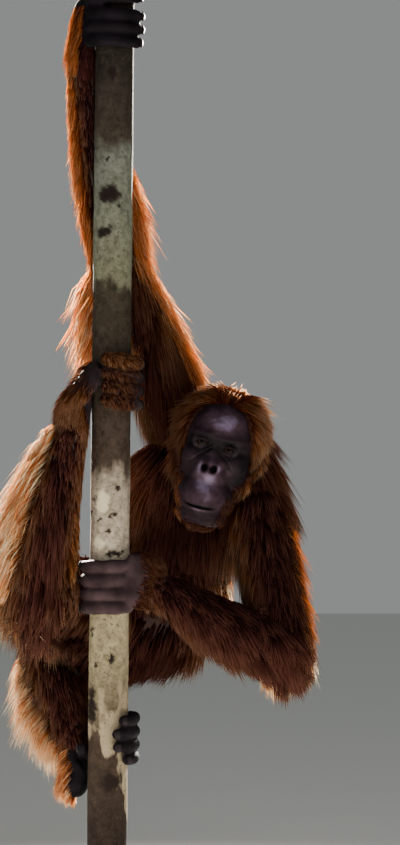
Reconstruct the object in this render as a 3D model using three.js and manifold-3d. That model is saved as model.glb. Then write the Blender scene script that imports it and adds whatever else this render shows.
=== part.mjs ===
import * as THREE from "three";
import { mergeVertices } from "three/addons/utils/BufferGeometryUtils.js";
import Module from "manifold-3d";

const wasm = await Module();
wasm.setup();

// An adult female orangutan clinging to a slender trunk, at life size.
// Millimetres, +Z up. The origin is the centre of the underside of the display base.
// +X is the viewer's right and +Y is away from the viewer. Left and right are the animal's own.

const gap = 0.3;
const v = (x, y, z) => new THREE.Vector3(x, y, z);
const up = v(0, 0, 1);

// Display stand and trunk.
const stand = { width: 640, depth: 560, thick: 24, corner: 60, rodRadius: 8, rodSpread: 17 };
const trunk = {
  radius: 33,
  foot: v(-80, -90, 114),
  top: v(-65, -90, 1632),
  sides: 18,
  rings: 4,
};

// Joints of the skeleton, which place every limb.
const joints = {
  shoulderRight: v(37, 70, 891),
  elbowRight: v(-66, -20, 1141),
  wristRight: v(-118, -62, 1458),
  shoulderLeft: v(170, 30, 735),
  elbowLeft: v(212, -160, 498),
  wristLeft: v(-4, -88, 598),
  hipRight: v(-62, 100, 556),
  kneeRight: v(-194, -100, 592),
  ankleRight: v(-138, -102, 860),
  hipLeft: v(40, 115, 527),
  kneeLeft: v(-181, 80, 472),
  ankleLeft: v(-136, -40, 334),
};

// Half sizes of the flesh, under the coat.
const girth = {
  upperArm: [46, 40, 36],
  forearm: [38, 36, 25],
  thigh: [68, 64, 52],
  shin: [46, 40, 26],
  neck: 56,
};

const torso = {
  nape: v(86, 62, 850),
  chest: v(60, 88, 760),
  belly: v(18, 108, 640),
  seat: v(-16, 118, 528),
  wide: { chest: 108, belly: 100, seat: 92 },
  deep: { chest: 84, belly: 92, seat: 80 },
};

// The head, in its own axes: side is to the animal's left, front is where it looks.
const head = {
  centre: v(104, -48, 818),
  roll: THREE.MathUtils.degToRad(14),
  yaw: THREE.MathUtils.degToRad(6),
  pitch: THREE.MathUtils.degToRad(3),
  skull: { wide: 66, deep: 84, high: 70, rise: 26, back: 8 },
  brow: { height: 29, front: 62, wide: 50, deep: 21, thick: 11 },
  eye: { apart: 46, height: 13.5, tilt: 1.8, front: 58, radius: 11 },
  socket: { wide: 16, deep: 10, high: 10 },
  bridge: { wide: 36, deep: 50, high: 40, drop: 34, front: 36 },
  muzzle: { wide: 46, deep: 57, high: 38, drop: 74, front: 38 },
  jaw: { wide: 42, deep: 52, high: 27, drop: 102, front: 34 },
  mouth: { drop: 89, wide: 40, front: 92, corner: 52, lip: 5 },
  nose: { drop: 19, front: 82, wide: 18, nostril: 8, opening: 6 },
  ear: { height: 4, back: 12, high: 22, wide: 13, thick: 5 },
};

// Locks of the coat: width, thickness in the middle, depth of the root, lean off the skin, how far
// neighbours differ in direction, and how much faster the thin edges and the tip grow.
const lockSize = { wide: 54, thick: 8, sink: 9, lean: 0.2, spread: 0.24, edgeGrow: 6, tipGrow: 4 };
const lockStations = [0, 0.3, 0.62, 0.86];
const lockWidths = [0.75, 1, 0.78, 0.42];

const colour = {
  coat: 0x6b2a14,
  skin: 0x3a2d33,
  bareDark: 0x1f1a1f,
  bareBrown: 0x6a5a55,
  barePurple: 0x4b3a3c,
  eye: 0x1a0f0a,
  bark: 0x8f887a,
  stand: 0x2a2a2c,
};

function material(hex, roughness, metalness = 0) {
  return new THREE.MeshStandardMaterial({ color: hex, roughness, metalness });
}

// Random numbers that come out alike every time.
function seeded(seed) {
  let state = seed;
  return () => {
    state = (state + 0x6d2b79f5) | 0;
    let t = Math.imul(state ^ (state >>> 15), 1 | state);
    t = (t + Math.imul(t ^ (t >>> 7), 61 | t)) ^ t;
    return ((t ^ (t >>> 14)) >>> 0) / 4294967296;
  };
}

function toSolid(geometry, tolerance = 1e-4) {
  const merged = geometry.clone();
  merged.deleteAttribute("normal");
  merged.deleteAttribute("uv");
  const closed = mergeVertices(merged, tolerance);
  return new wasm.Manifold(
    new wasm.Mesh({
      numProp: 3,
      vertProperties: Float32Array.from(closed.attributes.position.array),
      triVerts: Uint32Array.from(closed.index.array),
    }),
  );
}

function toGeometry(solid) {
  const mesh = solid.getMesh();
  const geometry = new THREE.BufferGeometry();
  const places = new Float32Array(mesh.numVert * 3);
  for (let i = 0; i < mesh.numVert; i += 1) {
    for (let k = 0; k < 3; k += 1) places[3 * i + k] = mesh.vertProperties[i * mesh.numProp + k];
  }
  geometry.setAttribute("position", new THREE.BufferAttribute(places, 3));
  geometry.setIndex(new THREE.BufferAttribute(Uint32Array.from(mesh.triVerts), 1));
  return geometry;
}

function union(solids) {
  if (solids.length === 1) return solids[0];
  return wasm.Manifold.union(solids);
}

// The largest closed surface, with vertices that all but touch made one, again until it is one body.
function largest(solid) {
  let body = solid;
  for (let pass = 0; pass < 6; pass += 1) {
    const bodies = body.decompose();
    const before = bodies.reduce((best, one) => (one.volume() > best.volume() ? one : best));
    body = toSolid(toGeometry(before).toNonIndexed(), 1e-3);
    if (body.numTri() === before.numTri() && body.decompose().length === 1) return body;
  }
  return body;
}

// Rings of points joined into one closed skin, with a point at each end.
function skinOf(rings, first, last) {
  const sides = rings[0].length;
  const places = [first, ...rings.flat(), last];
  const ring = (row, k) => 1 + row * sides + (k % sides);
  const faces = [];
  for (let k = 0; k < sides; k += 1) faces.push(0, ring(0, k + 1), ring(0, k));
  for (let row = 0; row + 1 < rings.length; row += 1) {
    for (let k = 0; k < sides; k += 1) {
      faces.push(ring(row, k), ring(row, k + 1), ring(row + 1, k + 1));
      faces.push(ring(row, k), ring(row + 1, k + 1), ring(row + 1, k));
    }
  }
  const end = places.length - 1;
  for (let k = 0; k < sides; k += 1) {
    faces.push(end, ring(rings.length - 1, k), ring(rings.length - 1, k + 1));
  }
  const geometry = new THREE.BufferGeometry();
  const numbers = places.flatMap((p) => [p.x, p.y, p.z]);
  geometry.setAttribute("position", new THREE.Float32BufferAttribute(numbers, 3));
  geometry.setIndex(faces);
  return geometry;
}

// Value of a short list at a fraction of its length, eased between its entries.
function along(list, fraction) {
  if (!Array.isArray(list)) return list;
  const place = Math.min(Math.max(fraction, 0), 1) * (list.length - 1);
  const low = Math.min(Math.floor(place), list.length - 2);
  const t = place - low;
  const eased = t * t * (3 - 2 * t);
  return list[low] + (list[low + 1] - list[low]) * (0.5 * t + 0.5 * eased);
}

// A rounded form of flesh, swept along a smooth path with oval sections.
// "facing" is the direction of the section's wide half size, "blunt" how much of each end is round.
class Form {
  constructor({ path, wide, deep, facing = v(1, 0, 0), rings = 8, sides = 10, blunt = [0.2, 0.2] }) {
    this.curve = new THREE.CatmullRomCurve3(path, false, "centripetal");
    Object.assign(this, { wide, deep: deep ?? wide, facing, rings, sides, blunt });
  }

  frame(fraction) {
    const centre = this.curve.getPointAt(fraction);
    const ahead = this.curve.getTangentAt(fraction);
    const side = this.facing.clone().addScaledVector(ahead, -this.facing.dot(ahead)).normalize();
    const other = ahead.clone().cross(side);
    return { centre, ahead, side, other };
  }

  swell(fraction) {
    const [start, finish] = this.blunt;
    const edge = Math.min(fraction / start, (1 - fraction) / finish, 1);
    return Math.sqrt(Math.max(0, 1 - (1 - edge) ** 2));
  }

  at(fraction, angle, grow = 0) {
    const { centre, ahead, side, other } = this.frame(fraction);
    const wide = along(this.wide, fraction) * this.swell(fraction) + grow;
    const deep = along(this.deep, fraction) * this.swell(fraction) + grow;
    const point = centre.clone();
    point.addScaledVector(side, wide * Math.cos(angle)).addScaledVector(other, deep * Math.sin(angle));
    const normal = side.clone().multiplyScalar(Math.cos(angle) / wide);
    normal.addScaledVector(other, Math.sin(angle) / deep).normalize();
    return { point, normal, ahead };
  }

  solid(grow = 0) {
    const rows = [];
    for (let row = 1; row < this.rings; row += 1) {
      const fraction = 0.5 - 0.5 * Math.cos((Math.PI * row) / this.rings);
      const ring = [];
      for (let k = 0; k < this.sides; k += 1) {
        ring.push(this.at(fraction, (2 * Math.PI * k) / this.sides, grow).point);
      }
      rows.push(ring);
    }
    const start = this.frame(0);
    const finish = this.frame(1);
    const first = start.centre.addScaledVector(start.ahead, -grow);
    const last = finish.centre.addScaledVector(finish.ahead, grow);
    return toSolid(skinOf(rows, first, last));
  }
}

// A flat, tapered lock of hair. It leaves the skin at a low angle, bends over and hangs. Its thin
// edges grow further sideways, because they lean so little towards one another.
function lockSolid({ root, normal, lie, long, wide, droop }, grow) {
  const across = lie.clone().cross(normal).normalize();
  const place = (u) => {
    const point = root.clone().addScaledVector(lie, long * u);
    point.addScaledVector(normal, lockSize.sink * (2.4 * u * (1 - 0.5 * u) - 1));
    return point.addScaledVector(up, -droop * long * u * u);
  };
  const rows = lockStations.map((u, i) => {
    const centre = place(u);
    const ahead = place(u + 0.02).sub(centre).normalize();
    const out = across.clone().cross(ahead).normalize();
    const half = (wide / 2) * lockWidths[i] + lockSize.edgeGrow * grow;
    const thick = lockSize.thick * (1 - 0.5 * u);
    const edge = (side) =>
      centre.clone().addScaledVector(across, side * half).addScaledVector(out, -0.35 * thick - grow);
    const ridge = centre.clone().addScaledVector(out, 0.65 * thick + grow);
    return [edge(-1), ridge, edge(1)];
  });
  const first = place(0).addScaledVector(lie, -2 - grow);
  const last = place(1).addScaledVector(place(1).sub(place(0.9)).normalize(), lockSize.tipGrow * grow);
  return toSolid(skinOf(rows, first, last));
}

// Roots in rows along a form, each row turned half a step from the one before.
function locksOn(form, seed, rows, around, long, lieOf, options = {}) {
  const random = seeded(seed);
  const { from = 0.12, to = 0.9, droop = 0.35, wide = lockSize.wide, skip = nearTrunk } = options;
  const locks = [];
  for (let row = 0; row < rows; row += 1) {
    for (let k = 0; k < around; k += 1) {
      const fraction = from + ((to - from) * (row + 0.5 * (random() - 0.5))) / Math.max(rows - 1, 1);
      const turn = (k + 0.5 * (row % 2) + 0.4 * (random() - 0.5)) / around;
      const { point, normal, ahead } = form.at(Math.min(Math.max(fraction, 0.05), 0.95), 2 * Math.PI * turn);
      const draw = [random(), random(), random()];
      if (skip(point, normal)) continue;
      const target = lieOf(point, normal, ahead);
      target.x += lockSize.spread * (draw[0] - 0.5);
      target.z += lockSize.spread * (draw[1] - 0.5);
      target.addScaledVector(normal, -target.dot(normal)).normalize();
      target.addScaledVector(normal, lockSize.lean).normalize();
      const size = Array.isArray(long) ? along(long, fraction) : long;
      locks.push({
        root: point,
        normal,
        lie: target,
        long: size * (0.8 + 0.4 * draw[2]),
        wide: wide * (0.85 + 0.3 * draw[1]),
        droop,
      });
    }
  }
  return (grow) => locks.map((one) => lockSolid(one, grow));
}

// Axes of the head, and a place in them.
const headTurn = new THREE.Matrix4()
  .makeRotationZ(-head.yaw)
  .multiply(new THREE.Matrix4().makeRotationY(head.roll))
  .multiply(new THREE.Matrix4().makeRotationX(head.pitch));
const headSide = v(1, 0, 0).transformDirection(headTurn);
const headFront = v(0, -1, 0).transformDirection(headTurn);
const headUp = v(0, 0, 1).transformDirection(headTurn);

function inHead(side, front, rise) {
  const place = head.centre.clone().addScaledVector(headSide, side);
  return place.addScaledVector(headFront, front).addScaledVector(headUp, rise);
}

// The centre of an eye, moved forwards by so much. One eye sits a little higher than the other.
function eyePlace(side, forward) {
  const { apart, front, height, tilt } = head.eye;
  return inHead((side * apart) / 2, front + forward, height - side * tilt);
}

// A ball stretched along the head's axes.
function headBall(centre, wide, deep, high, grow = 0, sides = 16, rows = 10) {
  const ball = new THREE.SphereGeometry(1, sides, rows);
  const basis = new THREE.Matrix4().makeBasis(
    headSide.clone().multiplyScalar(wide + grow),
    headFront.clone().multiplyScalar(-(deep + grow)),
    headUp.clone().multiplyScalar(high + grow),
  );
  ball.rotateX(Math.PI / 2);
  ball.applyMatrix4(basis);
  ball.translate(centre.x, centre.y, centre.z);
  return toSolid(ball);
}

// The trunk is a slightly leaning pole with flat cut ends.
function trunkSolid(grow = 0) {
  const geometry = new THREE.CylinderGeometry(
    trunk.radius - 1 + grow,
    trunk.radius + 1 + grow,
    trunk.top.z - trunk.foot.z,
    trunk.sides,
    trunk.rings,
  );
  geometry.rotateX(Math.PI / 2);
  const lean = (trunk.top.x - trunk.foot.x) / (trunk.top.z - trunk.foot.z);
  const places = geometry.attributes.position;
  const middle = (trunk.top.z + trunk.foot.z) / 2;
  for (let i = 0; i < places.count; i += 1) {
    const z = places.getZ(i);
    places.setXYZ(
      i,
      places.getX(i) + (trunk.foot.x + trunk.top.x) / 2 + lean * z,
      places.getY(i) + trunk.foot.y,
      z + middle,
    );
  }
  return toSolid(geometry);
}

function trunkAxis(z) {
  const t = (z - trunk.foot.z) / (trunk.top.z - trunk.foot.z);
  return trunk.foot.clone().lerp(trunk.top, t);
}

// Points round the trunk from one angle to another, both in degrees, 0 being the viewer's right
// and -90 the viewer's side, while the height changes evenly.
function roundTrunk(fromAngle, toAngle, fromZ, toZ, distance, count = 6) {
  const points = [];
  for (let i = 0; i < count; i += 1) {
    const t = i / (count - 1);
    const angle = THREE.MathUtils.degToRad(fromAngle + (toAngle - fromAngle) * t);
    const away = Array.isArray(distance) ? along(distance, t) : distance;
    const point = trunkAxis(fromZ + (toZ - fromZ) * t);
    points.push(point.add(v(Math.cos(angle) * away, Math.sin(angle) * away, 0)));
  }
  return points;
}

const pieces = [];

// A node of the model: its flesh, and the locks that grow from it.
function node(name, finish, fleshOf, locksOf = null) {
  pieces.push({ name, finish, fleshOf, locksOf });
}

function addStand() {
  const finish = material(colour.stand, 0.45, 0.1);
  const outline = new THREE.Shape();
  const x = stand.width / 2 - stand.corner;
  const y = stand.depth / 2 - stand.corner;
  outline.absarc(x, y, stand.corner, 0, Math.PI / 2);
  outline.absarc(-x, y, stand.corner, Math.PI / 2, Math.PI);
  outline.absarc(-x, -y, stand.corner, Math.PI, 1.5 * Math.PI);
  outline.absarc(x, -y, stand.corner, 1.5 * Math.PI, 2 * Math.PI);
  const plate = new THREE.ExtrudeGeometry(outline, {
    depth: stand.thick,
    bevelEnabled: false,
    curveSegments: 6,
  });
  node("stand_base", finish, () => toSolid(plate));
  for (const [name, side] of [["left", -1], ["right", 1]]) {
    const long = trunk.foot.z - stand.thick - 2 * gap;
    const rod = new THREE.CylinderGeometry(stand.rodRadius, stand.rodRadius, long, 16);
    rod.rotateX(Math.PI / 2);
    rod.translate(trunk.foot.x + side * stand.rodSpread, trunk.foot.y, stand.thick + gap + long / 2);
    node(`stand_rod_${name}`, finish, () => toSolid(rod));
  }
}

function addTrunk() {
  node("trunk", material(colour.bark, 0.85), (grow) => trunkSolid(grow));
}

const digitSteps = { rings: 8, sides: 6 };

// A finger or toe that bends round the trunk, thick at its joints and thin at its tip.
function digit(name, finish, path, high, thick) {
  const swell = [1.05, 0.95, 1.08, 0.92, 1.0, 0.84, 0.74];
  const form = new Form({
    path,
    wide: swell.map((s) => s * high),
    deep: swell.map((s) => s * thick),
    facing: up,
    ...digitSteps,
    blunt: [0.1, 0.09],
  });
  node(name, finish, (grow) => form.solid(grow));
}

// How far the middle of a digit lies from the middle of the trunk.
const digitThick = 9.5;
const digitReach = trunk.radius + 2 * gap + digitThick;

function addTopHand() {
  const finish = material(colour.bareDark, 0.5);
  const bottom = 1495;
  const pitchZ = 22;
  const names = ["little", "ring", "middle", "index"];
  names.forEach((name, i) => {
    const z = bottom + pitchZ * i;
    const path = roundTrunk(176, 350 - 8 * Math.abs(i - 1.5), z, z + (i === 3 ? 3 : -6), digitReach, 7);
    digit(`right_finger_${name}`, finish, path, 10.8, digitThick);
  });
  const thumb = roundTrunk(120, 52, 1502, 1512, digitReach + 1, 5);
  digit("right_thumb", finish, thumb, 10, 9);
  const palm = new Form({
    path: [v(-121, -60, 1448), v(-122, -66, 1480), v(-119, -72, 1520), v(-117, -76, 1568)],
    wide: [19, 17, 16, 15],
    deep: [27, 34, 36, 32],
    facing: v(1, 0.3, 0),
    rings: 9,
    sides: 12,
    blunt: [0.12, 0.14],
  });
  node("right_hand", finish, (grow) => palm.solid(grow));
}

function addLowHand() {
  const finish = material(colour.bareBrown, 0.6);
  const bottom = 563;
  const pitchZ = 22.8;
  const names = ["little", "ring", "middle", "index"];
  names.forEach((name, i) => {
    const z = bottom + pitchZ * i;
    const path = roundTrunk(-30, -186 + 8 * Math.abs(i - 1.5), z, z - 2, digitReach, 7);
    digit(`left_finger_${name}`, finish, path, 11, digitThick);
  });
  const thumb = roundTrunk(24, 96, 622, 636, digitReach + 1, 5);
  digit("left_thumb", finish, thumb, 10, 9);
  const palm = new Form({
    path: [v(6, -92, 598), v(-14, -104, 602), v(-32, -117, 606), v(-50, -130, 608)],
    wide: [30, 42, 48, 44],
    deep: [20, 19, 17, 13],
    facing: up,
    rings: 9,
    sides: 12,
    blunt: [0.16, 0.14],
  });
  node("left_hand", finish, (grow) => palm.solid(grow));
}

function addHighFoot() {
  const finish = material(colour.barePurple, 0.6);
  const names = ["fifth", "fourth", "third", "second"];
  names.forEach((name, i) => {
    const z = 906 + 22 * i;
    const path = roundTrunk(-112, -4 + 6 * i, z, z - 12, digitReach + 1, 7);
    digit(`right_toe_${name}`, finish, path, 10.6, digitThick);
  });
  const bigToe = roundTrunk(172, 96, 898, 904, digitReach + 1, 5);
  digit("right_toe_big", finish, bigToe, 11, 10);
  const sole = new Form({
    path: [v(-130, -100, 838), v(-131, -104, 880), v(-119, -120, 922), v(-92, -142, 950)],
    wide: [24, 28, 34, 42],
    deep: [20, 20, 18, 13],
    facing: v(0.55, 0, 0.83),
    rings: 9,
    sides: 12,
    blunt: [0.14, 0.12],
  });
  node("right_foot", finish, (grow) => sole.solid(grow));
}

function addLowFoot() {
  const finish = material(colour.bareDark, 0.5);
  const names = ["fifth", "fourth", "third", "second"];
  names.forEach((name, i) => {
    const z = 315 + 21.5 * i;
    const reach = [-52, -78, -80, -64][i];
    const path = roundTrunk(44, reach, z, z - 3, digitReach + 1, 7);
    digit(`left_toe_${name}`, finish, path, 10.2, 10);
  });
  const bigToe = roundTrunk(136, 204, 318, 332, digitReach + 1, 5);
  digit("left_toe_big", finish, bigToe, 11, 10);
  const sole = new Form({
    path: [v(-134, -72, 246), v(-130, -50, 290), v(-98, -34, 330), v(-58, -42, 338), v(-38, -58, 336)],
    wide: [22, 30, 38, 42, 40],
    deep: [24, 22, 17, 14, 12],
    facing: v(0.3, 0.2, 1),
    rings: 10,
    sides: 12,
    blunt: [0.12, 0.1],
  });
  node("left_foot", finish, (grow) => sole.solid(grow));
}

// Limb between two joints, with its middle pushed out a little as a muscle does. Each end runs
// past its joint by most of its half width, so that the next part meets it face to face.
function limbForm(from, to, girths, bow = v(0, 0, 0), facing = v(1, 0.2, 0)) {
  const course = to.clone().sub(from);
  const long = course.length();
  course.normalize();
  const pastStart = 0.75 * girths[0];
  const pastEnd = 0.75 * girths[2];
  const start = from.clone().addScaledVector(course, -pastStart);
  const finish = to.clone().addScaledVector(course, pastEnd);
  const middle = from.clone().lerp(to, 0.5).add(bow);
  const whole = long + pastStart + pastEnd;
  const blunt = [(1.1 * girths[0]) / whole, (1.1 * girths[2]) / whole];
  return new Form({ path: [start, middle, finish], wide: girths, facing, rings: 7, sides: 9, blunt });
}

const limbs = {
  upperArmRight: limbForm(joints.shoulderRight, joints.elbowRight, girth.upperArm),
  forearmRight: limbForm(joints.elbowRight, joints.wristRight, girth.forearm),
  upperArmLeft: limbForm(joints.shoulderLeft, joints.elbowLeft, girth.upperArm),
  forearmLeft: limbForm(joints.elbowLeft, joints.wristLeft, girth.forearm, v(0, 0, -6), up),
  thighRight: limbForm(joints.hipRight, joints.kneeRight, girth.thigh, v(0, 0, 0), up),
  thighLeft: limbForm(joints.hipLeft, joints.kneeLeft, girth.thigh, v(0, 0, 0), up),
  shinRight: limbForm(joints.kneeRight, joints.ankleRight, girth.shin),
  shinLeft: limbForm(joints.kneeLeft, joints.ankleLeft, girth.shin),
};

// Hair keeps off the trunk.
function nearTrunk(point) {
  const axis = trunkAxis(point.z);
  return Math.hypot(point.x - axis.x, point.y - axis.y) < 1.55 * trunk.radius;
}

// The lie of the coat: along the limb by "course", and downwards.
const lieDown = (course) => (point, normal, ahead) =>
  ahead.clone().multiplyScalar(course).addScaledVector(up, -0.8);

const limbLocks = {
  upperArmRight: locksOn(limbs.upperArmRight, 11, 4, 3, [85, 105, 100], lieDown(-0.9), {
    droop: 0.3,
    from: 0.2,
  }),
  forearmRight: locksOn(limbs.forearmRight, 12, 3, 3, [110, 80, 50], lieDown(-1), { droop: 0.2 }),
  upperArmLeft: locksOn(limbs.upperArmLeft, 13, 4, 4, [75, 80, 70], lieDown(0.9), { from: 0.16 }),
  forearmLeft: locksOn(limbs.forearmLeft, 14, 3, 3, [80, 75, 40], lieDown(-0.9), { from: 0.1, to: 0.82 }),
  thighRight: locksOn(limbs.thighRight, 15, 3, 4, 80, lieDown(0.5), { from: 0.3, to: 0.92 }),
  thighLeft: locksOn(limbs.thighLeft, 16, 3, 4, 75, lieDown(0.5), { from: 0.3, to: 0.92 }),
  shinRight: locksOn(limbs.shinRight, 17, 3, 3, [100, 90, 55], lieDown(-0.8), { from: 0.16, to: 0.84 }),
  shinLeft: locksOn(limbs.shinLeft, 18, 3, 3, [70, 65, 45], lieDown(0.6), { from: 0.2, to: 0.84 }),
};

function addTorso() {
  const finish = material(colour.coat, 0.9);
  const { nape, chest, belly, seat, wide, deep } = torso;
  const facing = v(1, 0.25, 0.35);
  const chestForm = new Form({
    path: [nape, chest, belly],
    wide: [78, wide.chest, wide.belly],
    deep: [66, deep.chest, deep.belly],
    facing,
    rings: 10,
    sides: 14,
    blunt: [0.3, 0.3],
  });
  const bellyForm = new Form({
    path: [chest.clone().lerp(belly, 0.6), belly, seat],
    wide: [wide.belly, wide.belly, wide.seat],
    deep: [deep.belly, deep.belly, deep.seat],
    facing,
    rings: 10,
    sides: 14,
    blunt: [0.3, 0.4],
  });
  const girdle = new Form({
    path: [joints.shoulderRight, v(92, 88, 846), joints.shoulderLeft],
    wide: [46, 66, 50],
    facing: up,
    rings: 8,
    sides: 12,
    blunt: [0.2, 0.2],
  });
  const hang = (point, normal, ahead) => ahead.clone().multiplyScalar(0.4).addScaledVector(up, -1);
  const chestLocks = locksOn(chestForm, 21, 3, 4, 90, hang, { from: 0.34, to: 0.86 });
  const girdleLocks = locksOn(girdle, 22, 3, 3, 105, () => v(0, 0.2, -1), {
    from: 0.2,
    to: 0.8,
    skip: (point, normal) => normal.z < -0.3,
  });
  const bellyLocks = locksOn(bellyForm, 23, 3, 4, 75, hang, { from: 0.4, to: 0.9, droop: 0.25 });
  node(
    "chest",
    finish,
    (grow) => union([chestForm.solid(grow), girdle.solid(grow)]),
    (grow) => [...chestLocks(grow), ...girdleLocks(grow)],
  );
  node("belly", finish, (grow) => bellyForm.solid(grow), bellyLocks);
}

// A tube of lip along the line of the mouth, raised or lowered from it.
function lip(rise, grow) {
  const { drop, wide, front, corner } = head.mouth;
  const form = new Form({
    path: [
      inHead(-wide, corner, rise - drop + 6),
      inHead(-0.55 * wide, front - 13, rise - drop + 1),
      inHead(0, front, rise - drop),
      inHead(0.55 * wide, front - 13, rise - drop + 1),
      inHead(wide, corner, rise - drop + 6),
    ],
    wide: head.mouth.lip,
    deep: 5,
    facing: headUp,
    rings: 7,
    sides: 5,
    blunt: [0.2, 0.2],
  });
  return form.solid(grow);
}

// The rim of the eye, two lids that meet at the corners.
function lids(side, grow) {
  const ring = new THREE.TorusGeometry(head.eye.radius - 1, 3.2 + grow, 4, 10);
  ring.scale(1.15, 0.72, 1);
  const basis = new THREE.Matrix4().makeBasis(headSide, headUp, headFront);
  ring.applyMatrix4(basis);
  const centre = eyePlace(side, 7);
  ring.translate(centre.x, centre.y, centre.z);
  return toSolid(ring);
}

// Hair of the head grows from the crown and the cheeks, and falls round the face.
function headLocks() {
  const random = seeded(31);
  const { skull } = head;
  const locks = [];
  const tiers = [
    { rise: 62, count: 5, span: 160, long: 92, droop: 0.62 },
    { rise: 26, count: 6, span: 128, long: 100, droop: 0.26 },
    { rise: -12, count: 5, span: 116, long: 88, droop: 0.1 },
  ];
  for (const { rise, count, span, long, droop } of tiers) {
    for (let k = 0; k < count; k += 1) {
      const across = (2 * (k + 0.3 * random())) / (count - 1) - 1;
      const angle = Math.PI + THREE.MathUtils.degToRad(span * across);
      const level = Math.asin(Math.min(Math.max((rise * 0.86) / skull.high, -0.95), 0.95));
      const side = Math.sin(angle) * Math.cos(level);
      const front = Math.cos(angle) * Math.cos(level);
      const root = inHead(
        side * skull.wide,
        front * skull.deep - skull.back,
        Math.sin(level) * skull.high + skull.rise,
      );
      const normal = headSide.clone().multiplyScalar(side / skull.wide);
      normal.addScaledVector(headFront, front / skull.deep);
      normal.addScaledVector(headUp, Math.sin(level) / skull.high).normalize();
      const lie = headSide.clone().multiplyScalar(0.7 * side).addScaledVector(headUp, -1.1);
      lie.addScaledVector(headFront, 0.15);
      lie.addScaledVector(normal, -lie.dot(normal)).normalize();
      lie.addScaledVector(normal, 0.12).normalize();
      locks.push({ root, normal, lie, long: long * (0.85 + 0.3 * random()), wide: 50, droop });
    }
  }
  return (grow) => locks.map((one) => lockSolid(one, grow));
}

function addHead() {
  const skin = material(colour.skin, 0.55);
  const { skull, bridge, muzzle, jaw, eye, socket, brow, nose, ear, mouth } = head;
  const sides = [["right", -1], ["left", 1]];
  for (const [name, side] of sides) {
    const centre = eyePlace(side, 0);
    node(`${name}_eye`, material(colour.eye, 0.15), (grow) =>
      headBall(centre, eye.radius, eye.radius, eye.radius, grow, 10, 6));
  }
  node("lower_jaw", skin, (grow) =>
    union([
      headBall(inHead(0, jaw.front, -jaw.drop), jaw.wide, jaw.deep, jaw.high, grow, 12, 7),
      lip(-mouth.lip - 0.5, grow),
    ]));
  node(
    "head",
    skin,
    (grow) => {
      const flesh = union([
        headBall(inHead(0, -skull.back, skull.rise), skull.wide, skull.deep, skull.high, grow, 12, 8),
        headBall(inHead(0, bridge.front, -bridge.drop), bridge.wide, bridge.deep, bridge.high, grow, 10, 6),
        headBall(inHead(0, muzzle.front, -muzzle.drop), muzzle.wide, muzzle.deep, muzzle.high, grow, 12, 6),
        headBall(inHead(0, brow.front - 10, brow.height), brow.wide, brow.deep, brow.thick, grow, 10, 5),
        headBall(inHead(0, nose.front - 8, -nose.drop), nose.wide, 15, 13, grow, 8, 5),
        lip(mouth.lip + 0.5, grow),
      ]);
      const hollows = sides.map(([, side]) =>
        headBall(eyePlace(side, 14), socket.wide, socket.deep, socket.high, 0, 8, 5));
      const nostrils = sides.map(([, side]) =>
        headBall(
          inHead(side * nose.nostril, nose.front + 5, -nose.drop - 4),
          nose.opening, 7, nose.opening, 0, 6, 4,
        ));
      const rims = sides.map(([, side]) => lids(side, grow));
      return union([flesh.subtract(union([...hollows, ...nostrils])), ...rims]);
    },
    headLocks(),
  );
  for (const [name, side] of sides) {
    const centre = inHead(side * (skull.wide + 2), -ear.back, ear.height);
    const cup = inHead(side * (skull.wide + 2 + ear.thick), -ear.back + 1, ear.height + 1);
    node(`${name}_ear`, skin, (grow) => {
      const shell = headBall(centre, ear.thick + 2, ear.wide, ear.high, grow, 8, 6);
      return shell.subtract(headBall(cup, ear.thick, ear.wide - 5, ear.high - 7, 0, 6, 5));
    });
  }
}

function addNeck() {
  const form = new Form({
    path: [inHead(0, -30, -20), v(98, 20, 812), torso.nape],
    wide: girth.neck,
    rings: 8,
    sides: 12,
    blunt: [0.25, 0.25],
  });
  node("neck", material(colour.coat, 0.9), (grow) => form.solid(grow));
}

function addLimbs() {
  const finish = material(colour.coat, 0.9);
  const names = {
    upperArmRight: "right_upper_arm",
    upperArmLeft: "left_upper_arm",
    thighRight: "right_thigh",
    thighLeft: "left_thigh",
    forearmRight: "right_forearm",
    forearmLeft: "left_forearm",
    shinRight: "right_shin",
    shinLeft: "left_shin",
  };
  for (const [key, name] of Object.entries(names)) {
    node(name, finish, (grow) => limbs[key].solid(grow), limbLocks[key]);
  }
}

addStand();
addTrunk();
addTopHand();
addLowHand();
addHighFoot();
addLowFoot();
addTorso();
addHead();
addNeck();
addLimbs();

// Flesh gives way to what was named before it, and locks give way to all flesh.
function boxesMeet(a, b) {
  return [0, 1, 2].every((k) => a.min[k] <= b.max[k] && b.min[k] <= a.max[k]);
}

const bodies = pieces.filter((piece) => !piece.name.startsWith("stand_"));
const fat = bodies.map((piece) => piece.fleshOf(gap));
const fatBoxes = fat.map((solid) => solid.boundingBox());
const fatLocks = bodies.map((piece) => (piece.locksOf ? union(piece.locksOf(1.6 * gap)) : null));

function carve(solid, cutters, boxes) {
  const box = solid.boundingBox();
  return cutters.reduce((rest, cutter, j) => {
    if (!cutter || !boxesMeet(box, boxes[j])) return rest;
    return rest.subtract(cutter);
  }, solid);
}

const model = new THREE.Group();
const flesh = bodies.map((piece, i) => largest(carve(piece.fleshOf(0), fat.slice(0, i), fatBoxes)));
const whole = bodies.map((piece, i) => {
  if (!piece.locksOf) return flesh[i];
  const others = fat.map((solid, j) => (j === i ? null : solid));
  let locks = carve(union(piece.locksOf(0)), others, fatBoxes);
  const earlier = fatLocks.slice(0, i);
  locks = carve(locks, earlier, earlier.map((solid) => solid?.boundingBox()));
  return largest(flesh[i].add(locks));
});

function addMesh(piece, solid) {
  const mesh = new THREE.Mesh(toGeometry(solid), piece.finish);
  mesh.name = piece.name;
  model.add(mesh);
}

for (const piece of pieces) {
  const place = bodies.indexOf(piece);
  addMesh(piece, place < 0 ? piece.fleshOf(0) : whole[place]);
}

export default model;
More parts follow.
